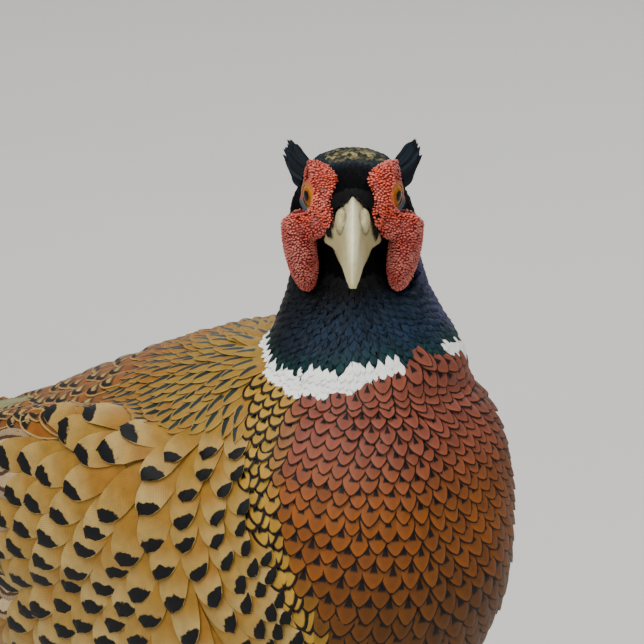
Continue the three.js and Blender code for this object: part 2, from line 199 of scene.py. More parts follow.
def edges_of(faces):
    pairs = np.concatenate([faces[:, [0, 1]], faces[:, [1, 2]], faces[:, [2, 0]]])
    return np.unique(np.sort(pairs, axis=1), axis=0)


def smoothed(values, edges, rounds, share=0.5):
    """Values pulled towards the mean of their neighbours."""
    count = np.zeros(len(values))
    np.add.at(count, edges[:, 0], 1)
    np.add.at(count, edges[:, 1], 1)
    count = np.maximum(count, 1).reshape((-1,) + (1,) * (values.ndim - 1))
    for _ in range(rounds):
        total = np.zeros_like(values)
        np.add.at(total, edges[:, 0], values[edges[:, 1]])
        np.add.at(total, edges[:, 1], values[edges[:, 0]])
        values = values + (total / count - values) * share
    return values


# Each round of rounding pulls by the first share and pushes back by the second.
PULL = 0.6
PUSH = -0.55


def rounded(points, edges, rounds):
    """Smoothing that keeps the size."""
    for _ in range(rounds):
        points = smoothed(points, edges, 1, PULL)
        points = smoothed(points, edges, 1, PUSH)
    return points


def corners(points, faces):
    """The three corners of each triangle, and its normal with twice its area as length."""
    a, b, c = (points[faces[:, i]] for i in range(3))
    return a, b, c, np.cross(b - a, c - a)


def gathered(values, faces, points):
    """Sum, at each point, of the vectors of the triangles round it."""
    total = np.zeros_like(points)
    for i in range(3):
        np.add.at(total, faces[:, i], values)
    return total


def vertex_normals(points, faces):
    return unit(gathered(corners(points, faces)[3], faces, points))


def unit_ring(sides):
    """Directions round a circle."""
    angle = np.linspace(0, 2 * math.pi, sides, endpoint=False)
    return np.stack([np.cos(angle), np.sin(angle)], axis=1)


def ring_faces(rings, sides):
    """Faces between successive rings of points."""
    i = np.arange(sides)
    j = (i + 1) % sides
    quad = np.stack([i, j, j + sides, i + sides], axis=1)
    return np.concatenate([quad + ring * sides for ring in range(rings - 1)])


def copies(faces, count, size):
    """The faces of many like shapes, whose points follow each other and are this many in each."""
    return (faces[None] + (np.arange(count) * size)[:, None, None]).reshape(-1, faces.shape[1])


# Materials


class Value:
    """A number or colour in a material. Operators and methods add the nodes that work with it."""

    def __init__(self, graph, socket):
        self.graph = graph
        self.socket = socket

    def __add__(self, other):
        return self.math("ADD", other)

    def __sub__(self, other):
        return self.math("SUBTRACT", other)

    def __mul__(self, other):
        return self.math("MULTIPLY", other)

    def __truediv__(self, other):
        return self.math("DIVIDE", other)

    def __abs__(self):
        return self.math("ABSOLUTE")

    def larger(self, other):
        return self.math("MAXIMUM", other)

    def wave(self):
        """Sine of a number of turns."""
        return (self * (2 * math.pi)).math("SINE")

    def math(self, operation, other=0.0):
        node = self.graph.node("Math")
        node.operation = operation
        self.graph.put(node.inputs[0], self)
        self.graph.put(node.inputs[1], other)
        return Value(self.graph, node.outputs[0])

    def step(self, low, high):
        """Smooth step from 0 at low to 1 at high."""
        node = self.graph.node("MapRange")
        node.interpolation_type = "SMOOTHSTEP"
        self.graph.put(node.inputs["Value"], self)
        self.graph.put(node.inputs["From Min"], low)
        self.graph.put(node.inputs["From Max"], high)
        return Value(self.graph, node.outputs["Result"])

    def mix(self, a, b):
        """From one colour where this is 0 to another where it is 1."""
        return self.graph.mix(self, a, b)


class Graph:
    """A material under construction, with short calls for its nodes."""

    def __init__(self, name, roughness, **fixed):
        self.material = bpy.data.materials.new(name)
        self.material.use_nodes = True
        self.shader = self.material.node_tree.nodes["Principled BSDF"]
        self.shader.inputs["Roughness"].default_value = roughness
        for key, value in fixed.items():
            self.shader.inputs[key.replace("_", " ")].default_value = value

    def node(self, kind):
        return self.material.node_tree.nodes.new(f"ShaderNode{kind}")

    def put(self, socket, value):
        if isinstance(value, Value):
            self.material.node_tree.links.new(value.socket, socket)
        elif socket.type == "RGBA":
            socket.default_value = (*value, 1.0)
        else:
            socket.default_value = value

    def mix(self, share, a, b, way="MIX"):
        node = self.node("Mix")
        node.data_type = "RGBA"
        node.blend_type = way
        self.put(node.inputs["Factor"], share)
        self.put(node.inputs["A"], a)
        self.put(node.inputs["B"], b)
        return Value(self, node.outputs["Result"])

    def attribute(self, name, output):
        node = self.node("Attribute")
        node.attribute_name = name
        return Value(self, node.outputs[output])

    def value(self, name):
        return self.attribute(name, "Fac")

    def colour(self, name):
        return self.attribute(name, "Color")

    def texture(self, kind, scale, output):
        node = self.node(kind)
        node.inputs["Scale"].default_value = scale
        place = self.node("TexCoord").outputs["Object"]
        self.put(node.inputs["Vector"], Value(self, place))
        return Value(self, node.outputs[output])

    def noise(self, scale, detail=3.0):
        noise = self.texture("TexNoise", scale, "Fac")
        noise.socket.node.inputs["Detail"].default_value = detail
        return noise

    def wobble(self, scale, reach):
        """Noise about 0."""
        return self.noise(scale) * reach - reach / 2

    def cells(self, scale):
        return self.texture("TexVoronoi", scale, "Distance")

    def bump(self, height, strength, distance):
        node = self.node("Bump")
        node.inputs["Strength"].default_value = strength
        node.inputs["Distance"].default_value = distance
        self.put(node.inputs["Height"], height)
        self.put(self.shader.inputs["Normal"], Value(self, node.outputs[0]))

    def paint(self, colour):
        self.put(self.shader.inputs["Base Color"], colour)
        return self.material


class Vane(Graph):
    """A vane's material. Across runs from -1 to 1, and along from 0 at the root to 1."""

    def __init__(self, name, roughness, **fixed):
        super().__init__(name, roughness, **fixed)
        place = self.node("UVMap")
        place.uv_map = "Vane"
        split = self.node("SeparateXYZ")
        self.put(split.inputs[0], Value(self, place.outputs[0]))
        self.across = Value(self, split.outputs[0]) * 2.0 - 1.0
        self.along = Value(self, split.outputs[1])
        self.wide = abs(self.across)
        self.rim = self.value("rim")
        self.tint, self.mark, self.pale = (self.colour(key) for key in ("tint", "mark", "pale"))


BARB_HEIGHT = 0.00012


def feather_material(name, marks, barbs, slant, roughness, relief, depth, shine):
    """Fine slanting barbs, blotches and a shaft, with the marks laid over each feather's tint."""
    vane = Vane(name, roughness, Specular_IOR_Level=shine)
    lines = (vane.along * barbs - vane.wide * slant).wave() * 0.5 + 0.5
    shade = lines * (0.22 * depth) + (1 - 0.2 * depth)
    blotch = vane.noise(260.0) * (0.5 * depth) + (1 - 0.26 * depth)
    shaft = vane.wide.step(0.06, 0.02)
    vane.bump(shaft * 1.5 + lines, relief, BARB_HEIGHT)
    return vane.paint(vane.mix(1.0, marks(vane), shade * blotch, "MULTIPLY"))


def plain_marks(vane):
    return vane.rim.step(0.3, 0.0).mix(vane.tint, vane.mark)


def breast_marks(vane):
    """Copper with a dark rim and a dark wedge where the row above leaves a gap. The wedge is partly the
    feather's own black notch and partly painted shade in that gap.
    """
    rim = vane.rim / vane.value("thick")
    notch_and_gap_shade = (vane.wide - (vane.along - 0.3) * 1.05).step(0.03, -0.03)
    ends = vane.along.step(0.3, 0.34) * vane.along.step(0.64, 0.56)
    dark = rim.step(0.2, 0.12).larger(notch_and_gap_shade * ends)
    return dark.mix(rim.step(0.2, 0.7).mix(vane.pale, vane.tint), vane.mark)


def flank_marks(vane):
    """Buff with a slanting black blob at the tip."""
    wobble = vane.wobble(330.0, 0.16)
    reach = vane.across * 0.09 + (vane.wide * vane.wide * 0.06 + 0.785)
    blob = (vane.along + wobble).step(reach, reach + 0.025) * (vane.wide + wobble).step(1.0, 0.93)
    return blob.mix(vane.along.step(0.45, 0.8).mix(vane.tint, vane.pale), vane.mark)


def mantle_marks(vane):
    """Gold with an orange rim and a dark glossy streak on one side of the shaft."""
    base = vane.rim.step(0.28, 0.08).mix(vane.tint, vane.pale)
    streak = (abs(vane.across - 0.42) + vane.wobble(280.0, 0.4)).step(0.4, 0.3)
    ends = vane.along.step(0.48, 0.56) * vane.along.step(0.97, 0.9)
    return (streak * ends).mix(base, vane.mark)


def scapular_marks(vane):
    """Chestnut with a pale rim, and a cream spot over a black one near the tip."""
    wobble = vane.wobble(300.0, 0.16)
    depth = vane.rim + wobble
    base = vane.rim.step(0.16, 0.06).mix(vane.tint, vane.pale)
    spot = vane.along.step(0.66, 0.74) * (vane.across + wobble).step(0.55, 0.4)
    base = (spot * depth.step(0.14, 0.2)).mix(base, vane.mark)
    return (spot * depth.step(0.5, 0.56) * vane.along.step(0.72, 0.8)).mix(base, vane.pale)


def covert_marks(vane):
    """Cream centre inside a black loop, with a wide chestnut border."""
    depth = vane.rim + vane.wobble(300.0, 0.2)
    base = depth.step(0.34, 0.4).mix(vane.tint, vane.mark)
    return depth.step(0.56, 0.62).mix(base, vane.pale)


def barred_marks(bars, dark_share):
    """Narrow dark cross bars that break up near the edge."""
    def marks(vane):
        wave = (vane.along * bars + vane.wide * 0.35 + vane.wobble(120.0, 0.5)).wave()
        bar = wave.step(1 - 2 * dark_share, 1 - dark_share)
        edge = vane.rim.step(0.42, 0.1)
        return (bar * (edge * -0.45 + 1.0)).mix(edge.mix(vane.tint, vane.pale), vane.mark)
    return marks


# The regions of the plumage


# How each region's feathers grow and are cut. Rows, and neighbours in a row, stand row and side mm
# apart, and up to their growth more. The skin lies depth mm under the outline. Length and half width
# are counted in those distances. The fray of the tip is a share of the length, and the lifts are the
# heights in mm of the root and the tip.
Cut = namedtuple("Cut", ("row row_growth side side_growth depth length width point camber curve fray "
                         "lift tip_lift"))
CUTS = {
    "head": Cut(1.6, 0, 1.6, 0, 1.3, 3.2, 0.85, 0.5, 0.1, 0.03, 0.08, 0.2, 0.8),
    "neck": Cut(2.0, 0.5, 1.9, 0.5, 2.4, 3.5, 0.8, 0.4, 0.1, 0.012, 0.12, 0.3, 1.3),
    "collar": Cut(2.2, 0, 1.8, 0, 2.6, 3.7, 0.85, 0.15, 0.08, 0.012, 0.04, 0.4, 1.5),
    "breast": Cut(3.8, 2.3, 4.7, 1.9, 3.0, 2.7, 0.72, 0.62, 0.12, 0.008, 0.012, 0.3, 2.5),
    "flank": Cut(6.2, 3.6, 6.0, 2.2, 3.4, 2.8, 0.75, 0.1, 0.1, 0.008, 0.02, 0.3, 3.2),
    "mantle": Cut(5.4, 0, 3.4, 0, 3.0, 3.0, 0.85, 0.45, 0.1, 0.008, 0.02, 0.3, 2.6),
    "scapular": Cut(8.0, 0, 6.4, 0, 3.2, 2.6, 0.78, 0.2, 0.1, 0.008, 0.015, 0.3, 2.8),
    "wing": Cut(8.5, 0, 8.5, 0, 3.6, 2.6, 0.75, 0.2, 0.08, 0.006, 0.015, 0.3, 2.8),
    "rump": Cut(8.0, 0, 6.0, 0, 3.0, 4.2, 0.85, 0.5, 0.08, 0.01, 0.06, 0.3, 2.6),
    "belly": Cut(7.0, 0, 6.0, 0, 3.0, 3.0, 0.9, 0.3, 0.08, 0.006, 0.08, 0.3, 2.6),
    "thigh": Cut(4.6, 0, 4.6, 0, 2.4, 3.0, 0.9, 0.3, 0.08, 0.02, 0.08, 0.2, 1.8),
}
REGIONS = list(CUTS)

# The neck's axis stands upright at this y, and feathers this near to it can belong to the neck.
NECK_Y = -71.0
NECK_REACH = 48
# The collar's feathers hang this far below their roots. Its gap is at this angle round the neck.
COLLAR_DROP = 6.0
COLLAR_GAP_AT = -10.0
# The collar's lower edge and its depth, for angles from the gap.
COLLAR_EDGE = ([0, 14, 45, 75, 110, 150, 190], [268, 265, 257.5, 255, 261, 268, 270])
COLLAR_DEPTH = ([0, 14, 20, 40, 70, 95, 125, 190], [0, 0, 5, 7.8, 8.6, 4.6, 3.5, 6])
# Where the copper of the breast ends, as y for a height.
BREAST_LINE = ([120, 150, 170, 191, 235, 262], [-62, -82, -92, -93, -78, -74])
# Behind the copper breast this width of gold feathers still has black scalloped edges.
SCALLOP_DEPTH = 15.0
# The mantle's lower edge, as a height for a y.
MANTLE_EDGE = ([-72, -67, -20, 40, 100, 170], [258, 255, 239, 221, 201, 190])


def neck_angle(p):
    """Angle round the neck from straight ahead, in degrees, positive to the bird's left."""
    return np.degrees(np.arctan2(p[..., 0], -(p[..., 1] - NECK_Y)))


def collar_turn(p):
    """Angle round the neck from the gap in the collar, either way."""
    return np.abs(neck_angle(p) - COLLAR_GAP_AT)


def collar_low(p):
    """Height of the roots of the white collar's lowest feathers round the neck."""
    return np.interp(collar_turn(p), *COLLAR_EDGE) + COLLAR_DROP


def collar_depth(p):
    return np.interp(collar_turn(p), *COLLAR_DEPTH)


def breast_line(z):
    return np.interp(z, *BREAST_LINE)


def is_head(p):
    local = to_head(p)
    share = ramp(local[..., 2], -30, -18) * ramp(local[..., 1], 30, 20)
    return (p[..., 2] > 297) & (share > 0.5)


def is_thigh(p):
    """Near a line that slopes down and back through the middle of the thigh."""
    line = 4 + (150 - p[..., 2]) * 0.36
    return (p[..., 2] < 133) & (np.hypot(np.abs(p[..., 0]) - 38, p[..., 1] - line) < 30)


def region_of(p):
    """Number of the plumage region at each point. A later area covers the earlier ones."""
    x, y, z = np.abs(p[..., 0]), p[..., 1], p[..., 2]
    low = collar_low(p)
    by_neck = np.hypot(x, y - NECK_Y) < NECK_REACH
    back = (z > np.interp(y, *MANTLE_EDGE)) & (y > -72)
    areas = (
        ("wing", (y > 6 + (240 - z) * 0.25) & (z > 172)),
        ("belly", (y > 78) & (z <= np.interp(y, [78, 150], [168, 180]))),
        ("belly", (z < 148 - x * 0.2) & (y > -60)),
        ("mantle", back),
        ("scapular", back & (x > 17) & (y > -4)),
        ("rump", (y > 62) & (x < np.interp(y, [62, 160], [26, 17])) & (z > 180)),
        ("rump", (y > 140) & (z > 180)),
        ("breast", y < breast_line(z) + SCALLOP_DEPTH),
        ("thigh", is_thigh(p)),
        ("collar", by_neck & (z > low)),
        ("neck", by_neck & (z > low + collar_depth(p))),
        ("head", is_head(p)),
    )
    region = np.full(z.shape, REGIONS.index("flank"))
    for name, area in areas:
        region[area] = REGIONS.index(name)
    return region


def pitch(p, way):
    """Distance in mm between rows, or between the neighbours in a row where the way is side."""
    region = region_of(p)
    z = p[..., 2]
    behind = p[..., 1] - breast_line(z)
    growth = {"neck": ramp(z, 292, 268), "breast": ramp(z, 252, 186),
              "flank": ramp(behind, SCALLOP_DEPTH, SCALLOP_DEPTH + 32)}
    distance = np.array([getattr(cut, way) for cut in CUTS.values()])[region]
    for name, share in growth.items():
        more = getattr(CUTS[name], f"{way}_growth")
        distance = distance + np.where(region == REGIONS.index(name), more * share, 0)
    return distance


# The skin and the lie of the coat


FLESH = ["trunk", "neck", "head", "thigh_left", "thigh_right", "wing_left", "wing_right"]
SKIN_VOXEL = 2.3
# Rows of feathers are counted from this place: its nearest point, and those up to this much farther.
BILL_ROOT = from_head([0, -18, -2])
FIRST_ROW_REACH = 2.5
# Rounds of smoothing for the outline, and for what is spread over the skin.
OUTLINE_SMOOTHING, OUTLINE_ROUNDING = 2, 14
DEPTH_SMOOTHING, PITCH_SMOOTHING, ROW_SMOOTHING, FLOW_SMOOTHING, TINT_SMOOTHING = 8, 14, 16, 8, 2
# A row's line is drawn just past its whole number, so that it never runs through a point.
ROW_OFFSET = 0.001
SHORTEST_ROW = 5


def neighbours(edges, count):
    """Every edge both ways, sorted by its first point, and where each point's edges begin."""
    both = np.concatenate([edges, edges[:, ::-1]])
    both = both[np.argsort(both[:, 0], kind="stable")]
    return both, np.searchsorted(both[:, 0], np.arange(count + 1))


def spread_from(points, edges, cost, source):
    """Shortest distance over the edges from the points near a place, in units of the cost."""
    both, first = neighbours(edges, len(points))
    length = np.linalg.norm(points[both[:, 0]] - points[both[:, 1]], axis=1)
    weights = (length / ((cost[both[:, 0]] + cost[both[:, 1]]) / 2)).tolist()
    ends, first = both[:, 1].tolist(), first.tolist()
    away = np.linalg.norm(points - source, axis=1)
    seeds = np.where(away < away.min() + FIRST_ROW_REACH)[0].tolist()
    distance = [math.inf] * len(points)
    for i in seeds:
        distance[i] = 0.0
    heap = [(0.0, i) for i in seeds]
    while heap:
        d, i = heapq.heappop(heap)
        if d > distance[i]:
            continue
        for k in range(first[i], first[i + 1]):
            further = d + weights[k]
            if further < distance[ends[k]]:
                distance[ends[k]] = further
                heapq.heappush(heap, (further, ends[k]))
    return np.array(distance)


def two_step_edges(edges, count):
    """The edges and the pairs that are two edges apart."""
    both, first = neighbours(edges, count)
    degree = np.diff(first)
    pairs = [edges]
    for k in range(int(degree.max())):
        reach = both[degree[both[:, 1]] > k]
        far = both[first[reach[:, 1]] + k, 1]
        keep = far > reach[:, 0]
        pairs.append(np.stack([reach[keep, 0], far[keep]], axis=1))
    return np.unique(np.concatenate(pairs), axis=0)


class Skin:
    """The bird's surface under the coat, with the lie of the coat on it."""

    def __init__(self):
        points, self.faces = remeshed(FLESH, SKIN_VOXEL)
        self.edges = edges_of(self.faces)
        outline = rounded(smoothed(points, self.edges, OUTLINE_SMOOTHING), self.edges, OUTLINE_ROUNDING)
        depth = np.array([cut.depth for cut in CUTS.values()])[region_of(outline)]
        depth = smoothed(depth, self.edges, DEPTH_SMOOTHING)
        self.points = outline - vertex_normals(outline, self.faces) * depth[:, None]
        cost = smoothed(pitch(self.points, "row"), self.edges, PITCH_SMOOTHING)
        rows = spread_from(self.points, two_step_edges(self.edges, len(points)), cost, BILL_ROOT)
        self.rows = smoothed(np.where(np.isfinite(rows), rows, 0), self.edges, ROW_SMOOTHING)
        self.flow = self.face_flow()
        self.tree = BVHTree.FromPolygons(self.points.tolist(), self.faces.tolist())

    def face_flow(self):
        """Direction of the feathers on each face: away from the bill."""
        a, b, c, across = corners(self.points, self.faces)
        normal = unit(across)
        area = np.linalg.norm(across, axis=1, keepdims=True)
        values = self.rows[self.faces]
        slope = (values[:, 0:1] * np.cross(normal, c - b) + values[:, 1:2] * np.cross(normal, a - c)
                 + values[:, 2:3] * np.cross(normal, b - a)) / np.maximum(area, 1e-9)
        at_points = unit(gathered(unit(slope), self.faces, self.points))
        at_points = unit(smoothed(at_points, self.edges, FLOW_SMOOTHING))
        return unit(at_points[self.faces].sum(axis=1))

    def contour(self, level):
        """Closed lines where the row number has one value."""
        values = self.rows[self.faces] > level
        mixed = values.any(axis=1) & ~values.all(axis=1)
        faces, values = self.faces[mixed], values[mixed]
        lone = np.where(values.sum(axis=1) == 1, values.argmax(axis=1), (~values).argmax(axis=1))
        turned = (lone[:, None] + np.arange(3)) % 3
        links = {}
        for a, b, c in np.take_along_axis(faces, turned, axis=1).tolist():
            one = (min(a, b), max(a, b))
            two = (min(a, c), max(a, c))
            links.setdefault(one, []).append(two)
            links.setdefault(two, []).append(one)
        loops = []
        while links:
            chain = [next(iter(links))]
            while True:
                onward = [way for way in links.pop(chain[-1], []) if way in links]
                if not onward:
                    break
                chain.append(onward[0])
            pairs = np.array(chain)
            va, vb = self.rows[pairs[:, 0]], self.rows[pairs[:, 1]]
            share = ((level - va) / np.where(np.abs(vb - va) < 1e-9, 1, vb - va))[:, None]
            loops.append(self.points[pairs[:, 0]] * (1 - share) + self.points[pairs[:, 1]] * share)
        return loops

    def roots(self):
        """Feather roots in staggered rows: places, row numbers and places round the row."""
        places, rows, turns = [], [], []
        for level in range(1, int(self.rows.max())):
            for loop in self.contour(level + ROW_OFFSET):
                if len(loop) < SHORTEST_ROW:
                    continue
                start = int(np.argmin(loop[:, 2] + 0.8 * loop[:, 1]))
                loop = np.roll(loop, -start, axis=0)
                loop = np.concatenate([loop, loop[:1]])
                step = np.linalg.norm(np.diff(loop, axis=0), axis=1)
                middle = (loop[1:] + loop[:-1]) / 2
                count = np.concatenate([[0], np.cumsum(step / pitch(middle, "side"))])
                total = max(int(round(count[-1])), 1)
                count *= total / max(count[-1], 1e-6)
                at = np.arange(total) + (0.5 if level % 2 else 0.0)
                places.append(np.stack([np.interp(at, count, loop[:, i]) for i in range(3)], axis=1))
                rows.append(np.full(total, level))
                turns.append(at / total)
        return np.concatenate(places), np.concatenate(rows), np.concatenate(turns)


def trace(tree, start, length, steps, flow=None, heading=None):
    """Middle lines over a surface, by the flow of its faces or by a heading for each line."""
    distances = np.outer(length, steps)
    spine = np.empty((*distances.shape, 3))
    normal = np.empty_like(spine)
    for i, place in enumerate(start):
        at, up, face, _ = tree.find_nearest(place.tolist())
        before = 0.0
        for k, distance in enumerate(distances[i]):
            way = Vector(flow[face] if heading is None else heading[i])
            way = (way - up * way.dot(up)).normalized()
            if distance > before:
                at, up, face, _ = tree.find_nearest(at + way * float(distance - before))
            before = distance
            spine[i, k] = at
            normal[i, k] = up
    return spine, unit(normal)


# Vanes


# Places along a vane, and points across it.
STEPS = np.array([0, 0.2, 0.38, 0.54, 0.67, 0.78, 0.87, 0.94, 1.0])
LONG_STEPS = np.concatenate([np.linspace(0, 0.9, 19), [0.94, 0.975, 1.0]])
COLUMNS = 7
# Size of the patch of a small feather in the bake map.
PATCH = 0.003

Vanes = namedtuple("Vanes", "points rim place faces size")


def outline_of(steps, point, root=0.45):
    """Half width along a vane as a share of its widest, pointed more as point nears 1."""
    swell = root + (1 - root) * ramp(steps, -0.1, 0.45)
    past = np.clip((steps - 0.5) / 0.5, 0, 1)
    close = (1 - past ** (3.2 - 1.9 * point)) ** (0.5 + 0.4 * point)
    return np.maximum(swell * close, 0.05)


def vane_grid(spine, normal, half_width, steps, outline, columns, rng, camber, curve, fray, lift=(0, 0)):
    """Curved vanes over their middle lines, with each vertex's distance to the rim and its place."""
    count, rows, _ = spine.shape
    along = unit(np.gradient(spine, axis=1))
    side = unit(np.cross(along, normal))
    up = unit(np.cross(side, along))
    u = np.linspace(-1, 1, columns)
    width = (half_width[:, None] * outline)[..., None]
    root_lift, tip_lift = lift
    height = root_lift + (np.reshape(tip_lift, (-1, 1)) - root_lift) * steps ** 1.3
    over = height[..., None] + camber * width * (1 - u ** 2) - curve * (width * u) ** 2
    points = spine[:, :, None] + side[:, :, None] * (width * u)[..., None]
    points = points + up[:, :, None] * over[..., None]
    length = np.linalg.norm(spine[:, -1] - spine[:, 0], axis=1)
    ragged = rng.normal(size=(count, 1, columns)) * steps[:, None] ** 8
    points += along[:, :, None] * (ragged * fray * length[:, None, None])[..., None]
    to_side = (1 - np.abs(u)) * outline[:, None]
    to_tip = (1 - steps)[:, None] * (length / half_width)[:, None, None]
    place = np.empty((count, rows, columns, 2))
    place[..., 0] = (u + 1) / 2
    place[..., 1] = steps[:, None]
    corner = np.arange(rows - 1)[:, None] * columns + np.arange(columns - 1)
    quad = np.stack([corner, corner + 1, corner + columns + 1, corner + columns], axis=-1).reshape(-1, 4)
    faces = copies(quad, count, rows * columns)
    rim = np.minimum(to_side, to_tip).reshape(-1)
    return Vanes(points.reshape(-1, 3), rim, place.reshape(-1, 2), faces, rows * columns)


def add_vanes(name, vanes, spots, patch, colours, material, replaces=()):
    """One piece of many vanes, with the maps and colours that its material reads."""
    piece = add_piece(name, vanes.points, vanes.faces, material, replaces)
    add_uv(piece, "Vane", vanes.place)
    centre = np.repeat(spots, vanes.size, axis=0)
    add_uv(piece, "OFBake", np.clip(centre + (vanes.place - 0.5) * patch, 0, 1))
    add_attribute(piece, "rim", vanes.rim)
    for key, values in colours.items():
        for_each = len(values) == len(spots)
        add_attribute(piece, key, np.repeat(values, vanes.size, axis=0) if for_each else values)


# The colours of the coat


INK = rgb("060608")
# Navy, violet and teal are the neck's iridescent sheen, painted into its colour.
NAVY = rgb("1a2c40")
VIOLET = rgb("484270")
TEAL = rgb("0f3533")
WHITE = rgb("f8f8f2")
MAROON = rgb("7a4030")
COPPER = rgb("78410f")
AMBER = rgb("4e2c03")
EDGE = rgb("0e0706")
BUFF = rgb("967024")
CREAM = rgb("b3975a")
GOLD = rgb("9a7a2a")
ORANGE = rgb("925614")
CHESTNUT = rgb("75451a")
GLOSS_BLACK = rgb("1d2a28")
SEPIA = rgb("3a2a1e")
SOOT = rgb("17120f")
OLIVE = rgb("7d7a4c")
RUST = rgb("8a4a22")


def paint_head(p, rng):
    """Bronze crown, black face and throat, with a painted blue sheen over the upper face and the neck's
    painted sheen low down.
    """
    local = to_head(p)
    crown = ramp(local[:, 2], 6.5, 9.5) * ramp(local[:, 1], -2, 5)
    painted_sheen = ramp(local[:, 2], 1, 6) * ramp(local[:, 1], -6, 0)
    # Painted sheen: a blue gloss over the upper face.
    tint = blend(INK, rgb("1b2a33"), painted_sheen * 0.8)
    tint = blend(tint, rgb("262b20"), crown * 0.9)
    tint = blend(tint, rgb("a39468"), crown * rng.random(len(p)) ** 2.3)
    # Low on the head the colour turns into the neck's, with its painted sheen.
    tint = blend(tint, paint_neck(p, rng)["tint"], ramp(p[:, 2], 314, 298))
    return dict(tint=tint, mark=tint * 0.6, pale=tint)


def paint_neck(p, rng):
    """Black at the throat, then navy and violet, with a green band above the collar. The navy, violet and
    green are the near-black neck's iridescent sheen, painted into its colour where it shows from the
    camera's side under these lights.
    """
    above = p[:, 2] - collar_low(p) - collar_depth(p)
    angle = neck_angle(p)
    # Painted sheen: navy and violet over the black, by angle round the neck and height above the collar.
    tint = blend(INK, NAVY, ramp(above, 24, 10) * ramp(angle, -140, -30))
    tint = blend(tint, VIOLET, ramp(angle, 5, 45) * ramp(above, 44, 22) * ramp(above, 1, 8))
    # Painted sheen: the green band just above the collar.
    tint = blend(tint, TEAL, ramp(above, 7, -1) * 0.9)
    tint = tint * varied(rng, (len(p), 1), 0.5)
    return dict(tint=tint, mark=tint * 0.35, pale=tint)


def paint_collar(p, rng):
    tint = WHITE * (0.97 + 0.05 * rng.random((len(p), 1)))
    return dict(tint=tint, mark=tint * 0.92, pale=tint)


def paint_breast(p, rng):
    """Maroon by the collar, copper in the middle, and a darker amber low down and towards the bird's left
    side. Low down the amber is partly the breast's own deeper colour and partly painted shade; towards the
    bird's left side, away from the lights, it is painted shade.
    """
    z = p[:, 2]
    behind = (p[:, 1] - breast_line(z)) / SCALLOP_DEPTH
    tint = blend(MAROON, COPPER, ramp(z, 252, 226))
    # Painted shade: darker amber low down and on the bird's left side, away from the key and front lights.
    tint = blend(tint, AMBER, np.maximum(ramp(z, 226, 188) * 0.95, ramp(p[:, 0], 12, 36) * 0.6))
    tint = blend(tint, GOLD, ramp(behind, -0.35, 0.25))
    tint = blend(tint, BUFF, ramp(behind, 0.3, 1.0) * rng.random(len(p)))
    tint = blend(tint, SEPIA, ramp(z, 165, 140))
    tint = tint * varied(rng, (len(p), 1), 0.3)
    return dict(tint=tint, mark=EDGE, pale=tint * [1.3, 1.25, 1.1], thick=1 + 1.1 * ramp(behind, -0.3, 0.3))


def paint_flank(p, rng):
    tint = blend(BUFF, ORANGE, rng.random(len(p)) * 0.5)
    return dict(tint=tint, mark=INK, pale=blend(CREAM, BUFF, rng.random(len(p)) * 0.7))


def paint_mantle(p, rng):
    warm = rng.random(len(p)) * 0.5 + 0.6 * ramp(p[:, 1], -48, 4)
    tint = blend(GOLD, ORANGE, np.minimum(warm, 1))
    mark = GLOSS_BLACK * (0.6 + 0.9 * rng.random((len(p), 1)))
    return dict(tint=tint, mark=mark, pale=blend(tint, CREAM, 0.25))


def paint_scapular(p, rng):
    tint = blend(ORANGE, CHESTNUT, rng.random(len(p)))
    return dict(tint=tint, mark=SOOT, pale=blend(CREAM, GOLD, rng.random(len(p)) * 0.5))


def paint_wing(p, rng):
    tint = blend(rgb("a98a5e"), rgb("8b7a68"), rng.random(len(p)))
    pale = blend(rgb("cdb58a"), CHESTNUT, rng.random(len(p)) * 0.5)
    return dict(tint=tint, mark=rgb("4a3324"), pale=pale)


def paint_rump(p, rng):
    tint = blend(OLIVE, RUST, ramp(p[:, 1], 90, 150) * 0.8) * varied(rng, (len(p), 1), 0.4)
    return dict(tint=tint, mark=tint * 0.5, pale=tint)


def paint_belly(p, rng):
    tint = blend(SEPIA, SOOT, ramp(p[:, 1], -40, 0))
    tint = blend(tint, rgb("5a3a22"), ramp(p[:, 1], 95, 130) * 0.7) * varied(rng, (len(p), 1), 0.4)
    return dict(tint=tint, mark=tint * 0.6, pale=tint)


# How each region looks: its painter, its slot, the colour of the skin below (painted shade: dark, or a
# darker copy of the feathers' colour, for the gaps between them), and then the marks, the barbs along a
# vane and their slant, the roughness, the relief, the depth of shade and the shine.
NECK_SLOT, BODY_SLOT, WING_SLOT = "neck_plumage", "body_plumage", "wing_plumage"
LOOKS = {
    "head": (paint_head, NECK_SLOT, INK, plain_marks, 10, 2, 0.7, 0.5, 1.0, 0.03),
    "neck": (paint_neck, NECK_SLOT, INK, plain_marks, 12, 3, 0.42, 0.5, 1.0, 0.12),
    "collar": (paint_collar, NECK_SLOT, WHITE * 0.9, plain_marks, 12, 3, 0.7, 0.5, 0.15, 0.5),
    "breast": (paint_breast, BODY_SLOT, EDGE * 2, breast_marks, 24, 4, 0.5, 0.3, 1.0, 0.2),
    "flank": (paint_flank, BODY_SLOT, BUFF * 0.7, flank_marks, 30, 8, 0.55, 0.35, 1.3, 0.2),
    "mantle": (paint_mantle, BODY_SLOT, GOLD * 0.5, mantle_marks, 18, 4, 0.5, 0.4, 1.4, 0.2),
    "scapular": (paint_scapular, WING_SLOT, CHESTNUT * 0.6, scapular_marks, 18, 5, 0.5, 0.4, 1.6, 0.2),
    "wing": (paint_wing, WING_SLOT, SEPIA, covert_marks, 22, 5, 0.55, 0.4, 1.3, 0.2),
    "rump": (paint_rump, BODY_SLOT, OLIVE * 0.3, plain_marks, 40, 8, 0.5, 0.5, 1.0, 0.2),
    "belly": (paint_belly, BODY_SLOT, SOOT, plain_marks, 30, 6, 0.7, 0.5, 1.0, 0.2),
    "thigh": (paint_belly, BODY_SLOT, SOOT, plain_marks, 24, 5, 0.7, 0.5, 1.0, 0.2),
}
